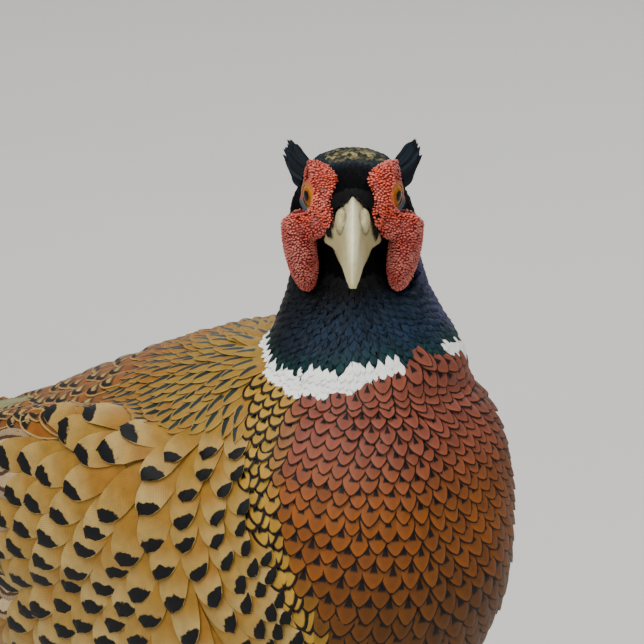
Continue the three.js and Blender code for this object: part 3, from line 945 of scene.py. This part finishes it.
# Feathers have no roots inside this radius of the eye's axis.
BARE_EYE = 6.5


def clear_of_face(p):
    """False where bare skin, eyes or the bill take the place of feathers."""
    local = to_head(p)
    x, y, z = np.abs(local[:, 0]), local[:, 1], local[:, 2]
    eye = (np.linalg.norm((local - EYE_AT)[:, 1:], axis=1) < BARE_EYE) & (x > 8)
    return ~(eye | ((y < -15.5) & (z < 3) & (x < 14) & (z > -19)))


def build_coat(skin, rng):
    """Feathers of every region, each region one piece."""
    places, rows, turns = skin.roots()
    region = region_of(places)
    clear = clear_of_face(places)
    for name, cut in CUTS.items():
        painter, slot, _, *look = LOOKS[name]
        chosen = clear & (region == REGIONS.index(name))
        start, row = places[chosen], rows[chosen]
        length = cut.length * pitch(start, "row") * varied(rng, len(start), 0.14)
        width = cut.width * pitch(start, "side") * varied(rng, len(start), 0.14)
        spine, normal = trace(skin.tree, start, length, STEPS, flow=skin.flow)
        lift = (cut.lift, cut.tip_lift * varied(rng, len(start), 0.3))
        vanes = vane_grid(spine, normal, width, STEPS, outline_of(STEPS, cut.point), COLUMNS, rng,
                          cut.camber, cut.curve, cut.fray, lift)
        spots = np.stack([turns[chosen], (row - row.min() + 1) / (row.max() - row.min() + 2)], axis=1)
        material = feather_material(f"{name}_feathers", *look)
        add_vanes(f"coat_{name}", vanes, spots, PATCH, painter(start, rng), material)


def build_skin_piece(skin):
    # The skin is painted in dark colours and darker copies of the coat's colours, as shade in the gaps
    # between feathers.
    under = np.array([LOOKS[name][2] for name in REGIONS])[region_of(skin.points)]
    graph = Graph("under_coat_shade", 0.85)
    graph.bump(graph.noise(900.0), 0.5, 0.0004)
    material = graph.paint(graph.colour("tint"))
    piece = add_piece("skin", skin.points, skin.faces, material, FLESH)
    add_attribute(piece, "tint", smoothed(under, skin.edges, TINT_SMOOTHING))


# Bill, eyes and face


BILL_VOXELS = {"bill_upper": 0.36, "bill_lower": 0.4}
# The lower bill is narrower than the upper one's edges and closes up inside them.
LOWER_BILL_SLIMNESS = 0.8
LOWER_BILL_LIFT = 1.3
# Hollows this deep, against the surface after so many rounds of smoothing, are darkened as painted shade.
HOLLOW_SMOOTHING = 14
HOLLOW_DEPTH = (0.02, 0.1)
RIDGE_WIDTH = 1.5


def horn_material():
    graph = Graph("bill_horn", 0.32, Specular_IOR_Level=0.55, Subsurface_Weight=0.12,
                  Subsurface_Radius=(0.002, 0.0015, 0.001))
    base = graph.value("ridge").mix(rgb("a89f72"), rgb("e8e2bc"))
    base = (graph.value("root") * 0.5).mix(base, rgb("8d8468"))
    # Painted shade in the hollows of the bill.
    base = (graph.value("hollow_shade") * 0.75).mix(base, rgb("5d5236"))
    base = (graph.noise(500.0, 4.0).step(0.45, 0.75) * 0.35).mix(base, rgb("8c8563"))
    graph.bump(graph.noise(700.0), 0.25, 0.0002)
    return graph.paint(base)


def build_bill():
    material = horn_material()
    for name, voxel in BILL_VOXELS.items():
        points, faces = remeshed([name], voxel)
        edges = edges_of(faces)
        points = rounded(smoothed(points, edges, 4), edges, 3)
        local = to_head(points)
        if name == "bill_lower":
            local[:, 0] *= LOWER_BILL_SLIMNESS
            local[:, 2] += LOWER_BILL_LIFT
            points = from_head(local)
        piece = add_piece(f"{name}_horn", points, faces, material, [name])
        add_attribute(piece, "ridge", np.exp(-(local[:, 0] / RIDGE_WIDTH) ** 2) * ramp(local[:, 2], -12, 0))
        add_attribute(piece, "root", ramp(local[:, 1], -24, -15))
        # How deep each point lies in a hollow, for the painted shade.
        inwards = smoothed(points, edges, HOLLOW_SMOOTHING) - points
        hollow_shade = (inwards * vertex_normals(points, faces)).sum(axis=1)
        add_attribute(piece, "hollow_shade", ramp(hollow_shade, *HOLLOW_DEPTH))


# The eye bulges as a ball up to the iris, at this angle from its axis, and then as a flatter dome.
IRIS_ANGLE = 41
IRIS_DOME = 1.3
PUPIL_ANGLES = (18, 15.5)
# The ball is made of so many rings, between these angles from its axis.
EYE_RINGS = (0.5, 80, 34)
EYE_SIDES = 48
# Rings of the lids: half height of the opening, half length, and height over the eye's centre.
LID_RINGS = [(3.55, 4.2, 4.5), (3.75, 4.5, 4.9), (4.3, 5.1, 4.85), (5.2, 6.0, 4.2), (6.4, 7.2, 3.3),
             (7.8, 8.4, 2.0)]
LID_THICKNESS = 0.22
# The slate skin below the eye bulges this far.
LID_BAG = 1.5


def eye_axes(sign):
    """Forward, up and outward directions of one eye in the head's frame."""
    out = unit(np.array([sign * 0.87, -0.47, 0.08]))
    ahead = unit(np.cross([0, 0, 1.0], out) * sign)
    return ahead, np.cross(out, ahead) * sign, out


def eye_profile(polar):
    """Distance from the eye's axis, and height along it."""
    iris = math.radians(IRIS_ANGLE)
    away = EYE_RADIUS * np.sin(polar)
    rim = EYE_RADIUS * math.sin(iris)
    dome = EYE_RADIUS * math.cos(iris) + IRIS_DOME * (1 - (away / rim) ** 2)
    return away, np.where(polar < iris, dome, EYE_RADIUS * np.cos(polar))


def eye_material():
    graph = Graph("eye", 0.16, Coat_Weight=0.06, Coat_Roughness=0.03, Specular_IOR_Level=0.08)
    polar = graph.value("polar")
    iris = polar.step(18, 36).mix(rgb("7d3d07"), rgb("c27a12"))
    iris = (graph.noise(1400.0, 4.0).step(0.45, 0.75) * 0.35).mix(iris, rgb("dd9f35"))
    colour = polar.step(*PUPIL_ANGLES).mix(iris, rgb("050405"))
    return graph.paint(polar.step(IRIS_ANGLE, IRIS_ANGLE + 4).mix(colour, rgb("1b100a")))


def lid_material():
    graph = Graph("eyelid", 0.45, Subsurface_Weight=0.15, Subsurface_Radius=(0.002, 0.001, 0.0006))
    graph.bump(graph.cells(1500.0), 0.4, 0.0002)
    return graph.paint(graph.colour("tint"))


def build_eyes():
    eye, lid = eye_material(), lid_material()
    polar = np.radians(np.linspace(*EYE_RINGS))
    ring, faces = unit_ring(EYE_SIDES), ring_faces(len(polar), EYE_SIDES)
    for name, sign in SIDES:
        ahead, up, out = eye_axes(sign)
        centre = EYE_AT * [sign, 1, 1]
        around = ring[:, :1] * ahead + ring[:, 1:] * up
        away, height = eye_profile(polar)
        points = centre + (away[:, None, None] * around + height[:, None, None] * out)
        piece = add_piece(f"eyeball_{name}", from_head(points.reshape(-1, 3)), faces[:, ::sign], eye,
                          [f"eye_{name}"])
        add_attribute(piece, "polar", np.repeat(np.degrees(polar), EYE_SIDES))
        build_lids(name, sign, lid, centre, ahead, up, out)


def build_lids(name, sign, material, centre, ahead, up, out):
    """Rings of skin about the eye, amber at its edge and slate below it."""
    ring = unit_ring(EYE_SIDES)
    low = ramp(-ring[:, 1], 0.2, 0.8)
    rings = []
    for high, long, over in LID_RINGS:
        flat = ring * [long, high]
        ball = np.sqrt(np.maximum(EYE_RADIUS ** 2 - (flat ** 2).sum(axis=1), 0)) + LID_THICKNESS
        bag = LID_BAG * low * ramp(high, 4, 5.2) * ramp(high, 8.6, 6.4)
        height = (np.maximum(over, ball) + bag)[:, None]
        rings.append(centre + flat[:, :1] * ahead + flat[:, 1:] * up + out * height)
    faces = ring_faces(len(LID_RINGS), EYE_SIDES)[:, ::sign]
    piece = add_piece(f"eyelid_{name}", from_head(np.concatenate(rings)), faces, material)
    index = np.repeat(np.arange(len(LID_RINGS)), EYE_SIDES)
    below = np.tile(ring[:, 1], len(LID_RINGS))
    tint = np.where((index < 2)[:, None], rgb("96622f"), rgb("a04632"))
    slate = ramp(index, 1.2, 2.0) * ramp(below, -0.35, -0.75)
    add_attribute(piece, "tint", blend(tint, rgb("3b434f"), slate))


WATTLE_VOXEL = 0.55
# The bare skin lies this far inside its outline, under nipples that keep a distance.
SKIN_INSET = 0.35
NIPPLE_SPACING = 0.76
# The least size of a nipple, and how much larger it can be.
NIPPLE_SIZE = (0.56, 0.42)
NIPPLE_STRETCH = 1.3
NIPPLE_SIDES = 6
# Radius and height of the rings of a nipple of size 1.
NIPPLE_RINGS = [(0.52, -0.1), (0.5, 0.3), (0.36, 0.62), (0.12, 0.78)]
# Seen along the camera's line, the eye looks out beside the inner lobe through this round gap.
SIGHT_RISE = math.radians(25)
SIGHT_AT = 18.2
SIGHT_RADIUS = 5.7
LOBE_NARROWING = 3.2
# The outer lobe's upper edge rounds off outwards from this x and level.
SHOULDER_AT = 16.0
SHOULDER_TOP = -5.6
SHOULDER_ROUND = 0.085
# Below the eye the gap is this much taller, so that the slate lower lid shows.
LID_DROP = 0.74


def scatter(points, faces, spacing, rng):
    """Places on a surface that keep a distance from each other, with normals."""
    a, b, c, across = corners(points, faces)
    area = np.linalg.norm(across, axis=1) / 2
    tries = int(area.sum() / spacing ** 2 * 9)
    pick = rng.choice(len(faces), tries, p=area / area.sum())
    s, t = np.sqrt(rng.random(tries))[:, None], rng.random(tries)[:, None]
    spots = a[pick] * (1 - s) + b[pick] * s * (1 - t) + c[pick] * s * t
    taken, chosen = {}, []
    near = [(i, j, k) for i in (-1, 0, 1) for j in (-1, 0, 1) for k in (-1, 0, 1)]
    for index, cell in enumerate(np.floor(spots / spacing).astype(int).tolist()):
        spot = spots[index]
        others = [taken.get((cell[0] + i, cell[1] + j, cell[2] + k)) for i, j, k in near]
        if all(o is None or np.dot(spot - o, spot - o) >= spacing ** 2 for o in others):
            taken[tuple(cell)] = spot
            chosen.append(index)
    return spots[chosen], unit(across)[pick][chosen]


def wattle_material():
    graph = Graph("face_skin", 0.42, Subsurface_Weight=0.2, Specular_IOR_Level=0.45,
                  Subsurface_Radius=(0.003, 0.0008, 0.0005))
    graph.bump(graph.noise(2200.0), 0.4, 0.0002)
    # The pale colour, in random patches, is a painted highlight on the nipples.
    return graph.paint(graph.noise(160.0).step(0.35, 0.7).mix(graph.colour("tint"), graph.colour("pale")))


def shaped_wattle(points, sign):
    """The face skin drawn in towards the bill and clear of the eye's line of sight."""
    local = to_head(points) * [sign, 1, 1]
    level = local[:, 2] * math.cos(SIGHT_RISE) + local[:, 1] * math.sin(SIGHT_RISE)
    inner = 1 - ramp(local[:, 0], 12.0, 14.5)
    draw = 0.9 + 1.5 * ramp(level, -2, -8)
    local[:, 0] -= draw * inner * ramp(level, -16, -12) * ramp(level, 7, 4)
    local[:, 0] += LOBE_NARROWING * inner * ramp(level, 6, 12)
    outward = np.maximum(local[:, 0] - SHOULDER_AT, 0)
    over = np.maximum(level - SHOULDER_TOP + SHOULDER_ROUND * outward ** 2, 0)
    local[:, 2] -= over * ramp(local[:, 0], SHOULDER_AT - 1, SHOULDER_AT + 1)
    level = np.where(level < 0, level * LID_DROP, level)
    inside = (np.hypot(local[:, 0] - SIGHT_AT, level) < SIGHT_RADIUS) & (local[:, 1] < 3)
    local[inside, 0] = SIGHT_AT - np.sqrt(SIGHT_RADIUS ** 2 - level[inside] ** 2)
    return from_head(local * [sign, 1, 1])


def build_wattles(rng):
    """Red face skin with a close cover of small nipples."""
    material = wattle_material()
    for name, sign in SIDES:
        points, faces = remeshed([f"wattle_{name}"], WATTLE_VOXEL)
        edges = edges_of(faces)
        points = rounded(smoothed(points, edges, 6), edges, 4)
        points = smoothed(shaped_wattle(points, sign), edges, 3)
        under = points - vertex_normals(points, faces) * SKIN_INSET
        base = add_piece(f"face_skin_{name}", under, faces, material, [f"wattle_{name}"])
        # The skin below is painted a darker red than the nipples, as shade in the gaps between them.
        add_attribute(base, "tint", rgb("6d120c"))
        add_attribute(base, "pale", rgb("8f1f14"))
        spots, ups = scatter(points, faces, NIPPLE_SPACING, rng)
        add_nipples(f"nipples_{name}", spots, ups, material, rng)


def add_nipples(name, spots, ups, material, rng):
    """Small blunt cones that hang a little, brighter towards their tips and over the eyes; their darker
    bases are painted shade between them.
    """
    count, sides = len(spots), NIPPLE_SIDES
    local = to_head(spots)
    hang = unit(ups + np.array([0, 0, -0.35]) + 0.25 * rng.normal(size=(count, 3)))
    first = unit(np.cross(hang, [0.0, 0.1, 1.0])) * NIPPLE_STRETCH
    second = unit(np.cross(hang, first)) / NIPPLE_STRETCH
    size = NIPPLE_SIZE[0] + NIPPLE_SIZE[1] * rng.random(count)
    ring = unit_ring(sides)
    around = first[:, None] * ring[:, :1] + second[:, None] * ring[:, 1:]
    around, hang = around * size[:, None, None], (hang * size[:, None])[:, None]
    rings = [spots[:, None] + around * radius + hang * height for radius, height in NIPPLE_RINGS]
    points = np.stack(rings, axis=1).reshape(-1, 3)
    top = (len(NIPPLE_RINGS) - 1) * sides
    cap = top + np.array([[0, 1, 2, 3], [0, 3, 4, 5]])
    cone = np.concatenate([ring_faces(len(NIPPLE_RINGS), sides), cap])
    each = len(NIPPLE_RINGS) * sides
    piece = add_piece(name, points, copies(cone, count, each), material)
    bright = ramp(-local[:, 1], -2, 9) * ramp(local[:, 2], -9, -2)
    tint = blend(rgb("b8463a"), rgb("f05a38"), bright) * varied(rng, (count, 1), 0.3)
    high = np.tile(np.repeat(np.linspace(0, 1, len(NIPPLE_RINGS)), sides), count)
    # Darker towards each base: painted shade between the nipples. Their pale colour is a painted highlight.
    for key, colour in (("tint", tint), ("pale", blend(tint, rgb("e29484"), 0.45))):
        add_attribute(piece, key, np.repeat(colour, each, axis=0) * (0.5 + 0.5 * high)[:, None])
    spot = np.stack([(local[:, 1] + 20) / 45, (local[:, 2] + 40) / 60], axis=1)
    patch = np.tile(ring * PATCH / 2, (len(NIPPLE_RINGS), 1))
    add_uv(piece, "OFBake", (spot[:, None] + patch).reshape(-1, 2))


# Velvet feathers that lie forward over the root of the bill, in the head's frame: the first and
# last place of each row of roots, the way they point, their length and their count.
BRISTLE_ROWS = [
    ([1.3, -12.5, 9.0], [8.0, -12.0, 6.5], [-0.02, -1, -0.35], 7.5, 16),
    ([0.0, -12.0, 9.2], [8.5, -10.5, 6.0], [0.0, -1, -0.3], 5.5, 18),
    ([2.0, -14.5, 8.0], [8.5, -13.5, 4.5], [-0.05, -1, -0.5], 6.0, 14),
    ([8.8, -13.0, 5.0], [10.4, -12.0, -6.8], [-0.32, -1, -0.25], 7.0, 22),
    ([8.4, -14.5, 4.0], [9.6, -14.0, -6.2], [-0.3, -1, -0.25], 5.5, 20),
    ([7.8, -15.5, 3.0], [9.0, -15.5, -5.6], [-0.3, -1, -0.3], 4.6, 18),
]
BRISTLE_HALF_WIDTH = 0.75
BRISTLE_COLUMNS = 5
BRISTLE_LIFT = (0.5, 0.7)


def build_bristles(skin, rng):
    points, faces = join_arrays([(skin.points, skin.faces), node_arrays("bill_upper")])
    tree = BVHTree.FromPolygons(points.tolist(), faces.tolist())
    start, heading, length = [], [], []
    for first, last, way, reach, count in BRISTLE_ROWS:
        for _, sign in SIDES:
            for share in np.linspace(0, 1, count):
                root = np.array(first) * (1 - share) + np.array(last) * share + 0.5 * rng.normal(size=3)
                start.append(from_head(root * [sign, 1, 1]))
                heading.append(unit(np.array(way) * [sign, 1, 1] + 0.08 * rng.normal(size=3)) @ HEAD_AXES.T)
                length.append(reach * varied(rng, None, 0.3))
    count = len(start)
    spine, normal = trace(tree, start, length, STEPS, heading=heading)
    vanes = vane_grid(spine, normal, np.full(count, BRISTLE_HALF_WIDTH), STEPS, outline_of(STEPS, 0.6),
                      BRISTLE_COLUMNS, rng, camber=0.15, curve=0.02, fray=0.03, lift=BRISTLE_LIFT)
    spots = (to_head(start)[:, [0, 2]] + 12) / 24
    tint = INK * varied(rng, (count, 1), 0.6)
    material = feather_material("velvet_feathers", plain_marks, 14, 3, 0.75, 0.4, 1.0, 0.15)
    colours = dict(tint=tint, mark=tint * 0.6)
    add_vanes("bill_root_feathers", vanes, spots, PATCH, colours, material)


# Ear tufts, wings and tail


# The ear tuft fans out from its inner edge to its outer one, in pointed clumps.
TUFT_COUNT = 90
TUFT_CLUMPS = 4
TUFT_FAN = (0, 0.25, 0.6, 1)
TUFT_OUT = (19.6, 22.8, 23.0, 20.6)
TUFT_UP = (11.6, 10.2, 5.6, 0.6)
SECONDARIES = 9
SECONDARY_HALF_WIDTH = 9.5
PRIMARIES = 6
PRIMARY_HALF_WIDTH = 6.2
# The root of a tail feather is hidden this far inside the rump.
TAIL_ROOT = 12
# Points of a curve through knots, which are also its rounds of smoothing, and a tail line's rounds.
CURVE_POINTS = 60
TAIL_SMOOTHING = 4
# A large feather takes this share of its cell in the bake map.
CELL_FILL = 0.9


def long_vanes(name, spines, normals, half_width, point, colours, material, rng,
               replaces=(), camber=0.1, curve=0.0, fray=0.004, columns=9, root=0.6):
    """Large feathers over given middle lines, which are sampled at the long steps."""
    outline = outline_of(LONG_STEPS, point, root)
    vanes = vane_grid(np.array(spines), np.array(normals), np.array(half_width), LONG_STEPS, outline,
                      columns, rng, camber, curve, fray)
    across = math.ceil(math.sqrt(len(spines)))
    index = np.arange(len(spines))
    spots = (np.stack([index % across, index // across], axis=1) + 0.5) / across
    add_vanes(name, vanes, spots, CELL_FILL / across, colours, material, replaces)


def relaxed(line, rounds):
    """A line smoothed between its ends."""
    for _ in range(rounds):
        line[1:-1] = line[1:-1] * 0.5 + (line[:-2] + line[2:]) * 0.25
    return line


def polyline(knots):
    """Points at the long steps of a smooth curve through knots."""
    knots = np.array(knots, dtype=float)
    at = np.linspace(0, 1, len(knots))
    fine = np.linspace(0, 1, CURVE_POINTS)
    line = relaxed(np.stack([np.interp(fine, at, knots[:, i]) for i in range(3)], axis=1), CURVE_POINTS)
    return np.stack([np.interp(LONG_STEPS, fine, line[:, i]) for i in range(3)], axis=1)


def level_normals(way):
    return np.tile(way, (len(LONG_STEPS), 1))


def build_ear_tufts(rng):
    material = feather_material("ear_tuft_feathers", plain_marks, 30, 4, 0.5, 0.4, 1.0, 0.12)
    for name, sign in SIDES:
        spines, normals, widths = [], [], []
        for share in np.arange(TUFT_COUNT) / (TUFT_COUNT - 1):
            deep = rng.random() - 0.5
            root = np.array([13.4 + 2.4 * share, 12.5 + 2 * deep, 4.5 - 8.5 * share])
            tip = np.array([np.interp(share, TUFT_FAN, TUFT_OUT), 18 + 3 * deep,
                            np.interp(share, TUFT_FAN, TUFT_UP)])
            clump = 0.84 + 0.16 * abs(math.sin(TUFT_CLUMPS * math.pi * share))
            short = clump * (0.86 + 0.18 * rng.random())
            middle = (root + tip) / 2 + np.array([0.6, 0.2, -0.6])
            line = polyline([root, middle, root + (tip - root) * short])
            spines.append(from_head(line * [sign, 1, 1]))
            facing = unit(np.array([0.15 * sign, -1, 0.25]) + 0.2 * rng.normal(size=3))
            normals.append(level_normals(facing @ HEAD_AXES.T))
            widths.append(0.8 + 0.4 * rng.random())
        tint = blend(INK, rgb("1c2b36"), rng.random(TUFT_COUNT) * 0.9)
        colours = dict(tint=tint, mark=tint * 0.5, pale=tint)
        long_vanes(f"ear_feathers_{name}", spines, normals, widths, 0.6, colours, material, rng,
                   [f"ear_tuft_{name}"], camber=0.15, fray=0.02, columns=5)


def over_skin(skin, start, way, length, lift):
    """A middle line that runs over the skin in a fixed direction, rising to its lift."""
    spine, normal = trace(skin.tree, [start], [length], LONG_STEPS, heading=[way])
    rise = lift[0] + (lift[1] - lift[0]) * LONG_STEPS
    return spine[0] + normal[0] * rise[:, None], normal[0]


def build_wing_feathers(skin, rng):
    """Secondaries and tertials laid over each other, and the tips of the primaries."""
    quill = feather_material("flight_feathers", barred_marks(13, 0.28), 150, 14, 0.55, 0.3, 1.0, 0.15)
    for name, sign in SIDES:
        lines = []
        for share in np.arange(SECONDARIES) / (SECONDARIES - 1):
            start = np.array([sign * (66 - 12 * share), 34 + 34 * share, 181 + 22 * share])
            way = [sign * -0.25, 1, -0.06 - 0.1 * share]
            lift = (2.2 + 1.6 * share, 3.4 + 2.6 * share)
            lines.append(over_skin(skin, start, way, 118 - 34 * share, lift))
        spines, normals = zip(*lines)
        tint = blend(rgb("8c7457"), rgb("a4876a"), rng.random(SECONDARIES))
        colours = dict(tint=tint, mark=rgb("3c2a1d"), pale=rgb("c2a276"))
        long_vanes(f"wing_feathers_{name}", spines, normals, [SECONDARY_HALF_WIDTH] * SECONDARIES, 0.25,
                   colours, quill, rng, camber=0.12, curve=0.004)
        build_primaries(name, sign, quill, rng)


def build_primaries(name, sign, quill, rng):
    spines = []
    for i in range(PRIMARIES):
        start = np.array([sign * (39 - 0.8 * i), 104, 180 + 0.7 * i])
        tip = np.array([sign * (27.5 - 0.3 * i), 189 - 7 * i, 179 + 0.9 * i])
        spines.append(polyline([start, (start + tip) / 2 + np.array([sign * 1.2, 0, 0]), tip]))
    normals = [level_normals(unit(np.array([sign * 0.55, 0, 0.85])))] * PRIMARIES
    colours = dict(tint=rgb("57493b"), mark=rgb("b39a72"), pale=rgb("6b5a48"))
    long_vanes(f"primary_feathers_{name}", spines, normals, [PRIMARY_HALF_WIDTH] * PRIMARIES, 0.45, colours,
               quill, rng, [f"primaries_{name}"])


def build_tail(rng):
    """Every tail blade becomes a barred feather with a shaft and a slight roof."""
    material = feather_material("tail_feathers", barred_marks(24, 0.2), 420, 16, 0.55, 0.3, 1.0, 0.15)
    names = sorted(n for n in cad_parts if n.startswith("tail_"))
    spines, widths = [], []
    for node in names:
        points, _ = node_arrays(node)
        y = points[:, 1].min() + np.ptp(points[:, 1]) * LONG_STEPS
        near = [points[np.argsort(np.abs(points[:, 1] - at))[:6]].mean(axis=0) for at in y]
        line = relaxed(np.array(near), TAIL_SMOOTHING)
        line[:, 1] = y
        line[0, 1] -= TAIL_ROOT
        spines.append(line)
        widths.append(np.ptp(points[:, 0]) / 2)
    tint = blend(rgb("9a7d4e"), rgb("86704c"), rng.random(len(names)))
    colours = dict(tint=tint, mark=rgb("1d1511"), pale=rgb("94644c"))
    long_vanes("tail_feathers", spines, [level_normals([0, 0, 1.0])] * len(names), widths, 1.0, colours,
               material, rng, names, camber=0.04, fray=0.001, columns=11, root=0.8)


# Legs


FOOT_VOXEL = 0.6
CLAW_VOXEL = 0.3
# The top of the shank closes over this height, by this share, under the feathers of the thigh.
HOCK_HEIGHT = 8.0
HOCK_CLOSING = 0.7
# Above this height the grooves between the scales go round the shank, and below it across the toes.
SHANK_FOOT = 12
SHANK_SCALE = 4.2
TOE_SCALE = 2.6
TOES_AT = (33, 10)
GROOVE_DEPTH = 0.35
# What is lower than the first height before smoothing is a sole, and stays under the second.
SOLE = (0.15, 0.1)


def leg_material():
    graph = Graph("leg_scales", 0.5, Specular_IOR_Level=0.5)
    base = graph.noise(220.0).step(0.35, 0.7).mix(rgb("6f675c"), rgb("948b7c"))
    graph.bump(graph.cells(620.0), 0.6, 0.0003)
    return graph.paint(graph.value("groove").step(0.5, 1.0).mix(base, rgb("3b352e")))


def build_feet():
    material = leg_material()
    for name, sign in SIDES:
        points, faces = remeshed([f"foot_{name}"], FOOT_VOXEL)
        sole = points[:, 2] < SOLE[0]
        points = smoothed(points, edges_of(faces), 3)
        hock = points[:, 2].max() - HOCK_HEIGHT
        middle = points[points[:, 2] > hock, :2].mean(axis=0)
        closing = ramp(points[:, 2], hock, hock + HOCK_HEIGHT)[:, None]
        points[:, :2] += (middle - points[:, :2]) * closing * HOCK_CLOSING
        normals = vertex_normals(points, faces)
        x, y, z = points.T
        shank = z > SHANK_FOOT
        toes = np.hypot(x - sign * TOES_AT[0], y - TOES_AT[1])
        phase = np.where(shank, z / SHANK_SCALE, toes / TOE_SCALE)
        facing = np.where(shank, ramp(-normals[:, 1], -0.2, 0.4), ramp(normals[:, 2], 0, 0.5))
        groove = (phase - np.floor(phase)) ** 6 * facing
        points = points - normals * (GROOVE_DEPTH * groove)[:, None]
        points[sole, 2] = np.minimum(points[sole, 2], SOLE[1])
        points[:, 2] = np.maximum(points[:, 2], 0)
        piece = add_piece(f"leg_{name}", points, faces, material, [f"foot_{name}"])
        add_attribute(piece, "groove", groove)


def build_claws():
    graph = Graph("claw_horn", 0.3, Specular_IOR_Level=0.5)
    graph.bump(graph.noise(1500.0), 0.2, 0.0002)
    material = graph.paint(graph.noise(400.0).mix(rgb("241d18"), rgb("4a3f35")))
    for node in sorted(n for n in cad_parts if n.startswith(("claw_", "spur_"))):
        points, faces = remeshed([node], CLAW_VOXEL)
        points = smoothed(points, edges_of(faces), 2)
        points[:, 2] = np.maximum(points[:, 2], 0)
        add_piece(f"{node}_horn", points, faces, material, [node])


# Camera, light and floor


FLOOR_HALF = 6000.0
LIGHTS_AIM = [0, -40, 230]
# Azimuth, elevation, distance in metres, size, power and colour of each light.
LIGHTS = {
    "key": (-75, 52, 1.6, 1.2, 27, (1, 1, 1)),
    "front": (-30, 25, 2.2, 1.6, 13, (1.0, 0.97, 0.93)),
    "rim": (120, 40, 1.8, 1.0, 14, (1, 1, 1)),
}
SKY_COLOUR = (0.96, 0.98, 1.0, 1)
SKY_STRENGTH = 0.55


def direction(azimuth, elevation):
    """Unit vector towards a place in the sky, with azimuth 0 straight ahead of the bird."""
    a, e = math.radians(azimuth), math.radians(elevation)
    return np.array([math.sin(a) * math.cos(e), -math.cos(a) * math.cos(e), math.sin(e)])


def build_camera():
    toward = direction(CAMERA_AZIMUTH, CAMERA_ELEVATION)
    right = direction(CAMERA_AZIMUTH + 90, 0)
    up = np.cross(toward, right)
    over, under = (PICTURE_SIZE / 2 - EYES_PIXEL[0]), (EYES_PIXEL[1] - PICTURE_SIZE / 2)
    target = HEAD_AT + (right * over + up * under) * MM_PER_PIXEL
    data = bpy.data.cameras.new("camera")
    data.sensor_width = SENSOR
    data.lens = SENSOR * CAMERA_DISTANCE / (PICTURE_SIZE * MM_PER_PIXEL * MM)
    data.clip_end = 50
    camera = bpy.data.objects.new("camera", data)
    bpy.context.scene.collection.objects.link(camera)
    place = Vector(to_world(target)) + Vector(toward) * CAMERA_DISTANCE
    turn = Matrix((right, up, toward)).transposed()
    camera.matrix_world = Matrix.Translation(place) @ turn.to_4x4()
    bpy.context.scene.camera = camera


def build_lights():
    for name, (azimuth, elevation, distance, size, power, colour) in LIGHTS.items():
        data = bpy.data.lights.new(name, "AREA")
        data.size = size
        data.energy = power
        data.color = colour
        light = bpy.data.objects.new(name, data)
        bpy.context.scene.collection.objects.link(light)
        way = Vector(direction(azimuth, elevation))
        light.location = Vector(to_world(LIGHTS_AIM)) + way * distance
        light.rotation_euler = way.to_track_quat("Z", "Y").to_euler()
    world = bpy.data.worlds.new("sky")
    bpy.context.scene.world = world
    world.use_nodes = True
    background = world.node_tree.nodes["Background"]
    background.inputs["Color"].default_value = SKY_COLOUR
    background.inputs["Strength"].default_value = SKY_STRENGTH


def build_floor():
    corners_of_floor = [[-1, -1, 0], [1, -1, 0], [1, 1, 0], [-1, 1, 0]]
    floor = mesh_object("floor", np.array(corners_of_floor) * FLOOR_HALF, [[0, 1, 2, 3]])
    graph = Graph("floor_paper", 0.9)
    floor.data.materials.append(graph.paint(graph.noise(3.0).mix(rgb("d3d1ca"), rgb("dbd9d3"))))


def main():
    rng = np.random.default_rng(SEED)
    build_camera()
    build_floor()
    build_lights()
    skin = Skin()
    build_skin_piece(skin)
    build_coat(skin, rng)
    build_bill()
    build_eyes()
    build_wattles(rng)
    build_bristles(skin, rng)
    build_ear_tufts(rng)
    build_wing_feathers(skin, rng)
    build_tail(rng)
    build_feet()
    build_claws()


main()
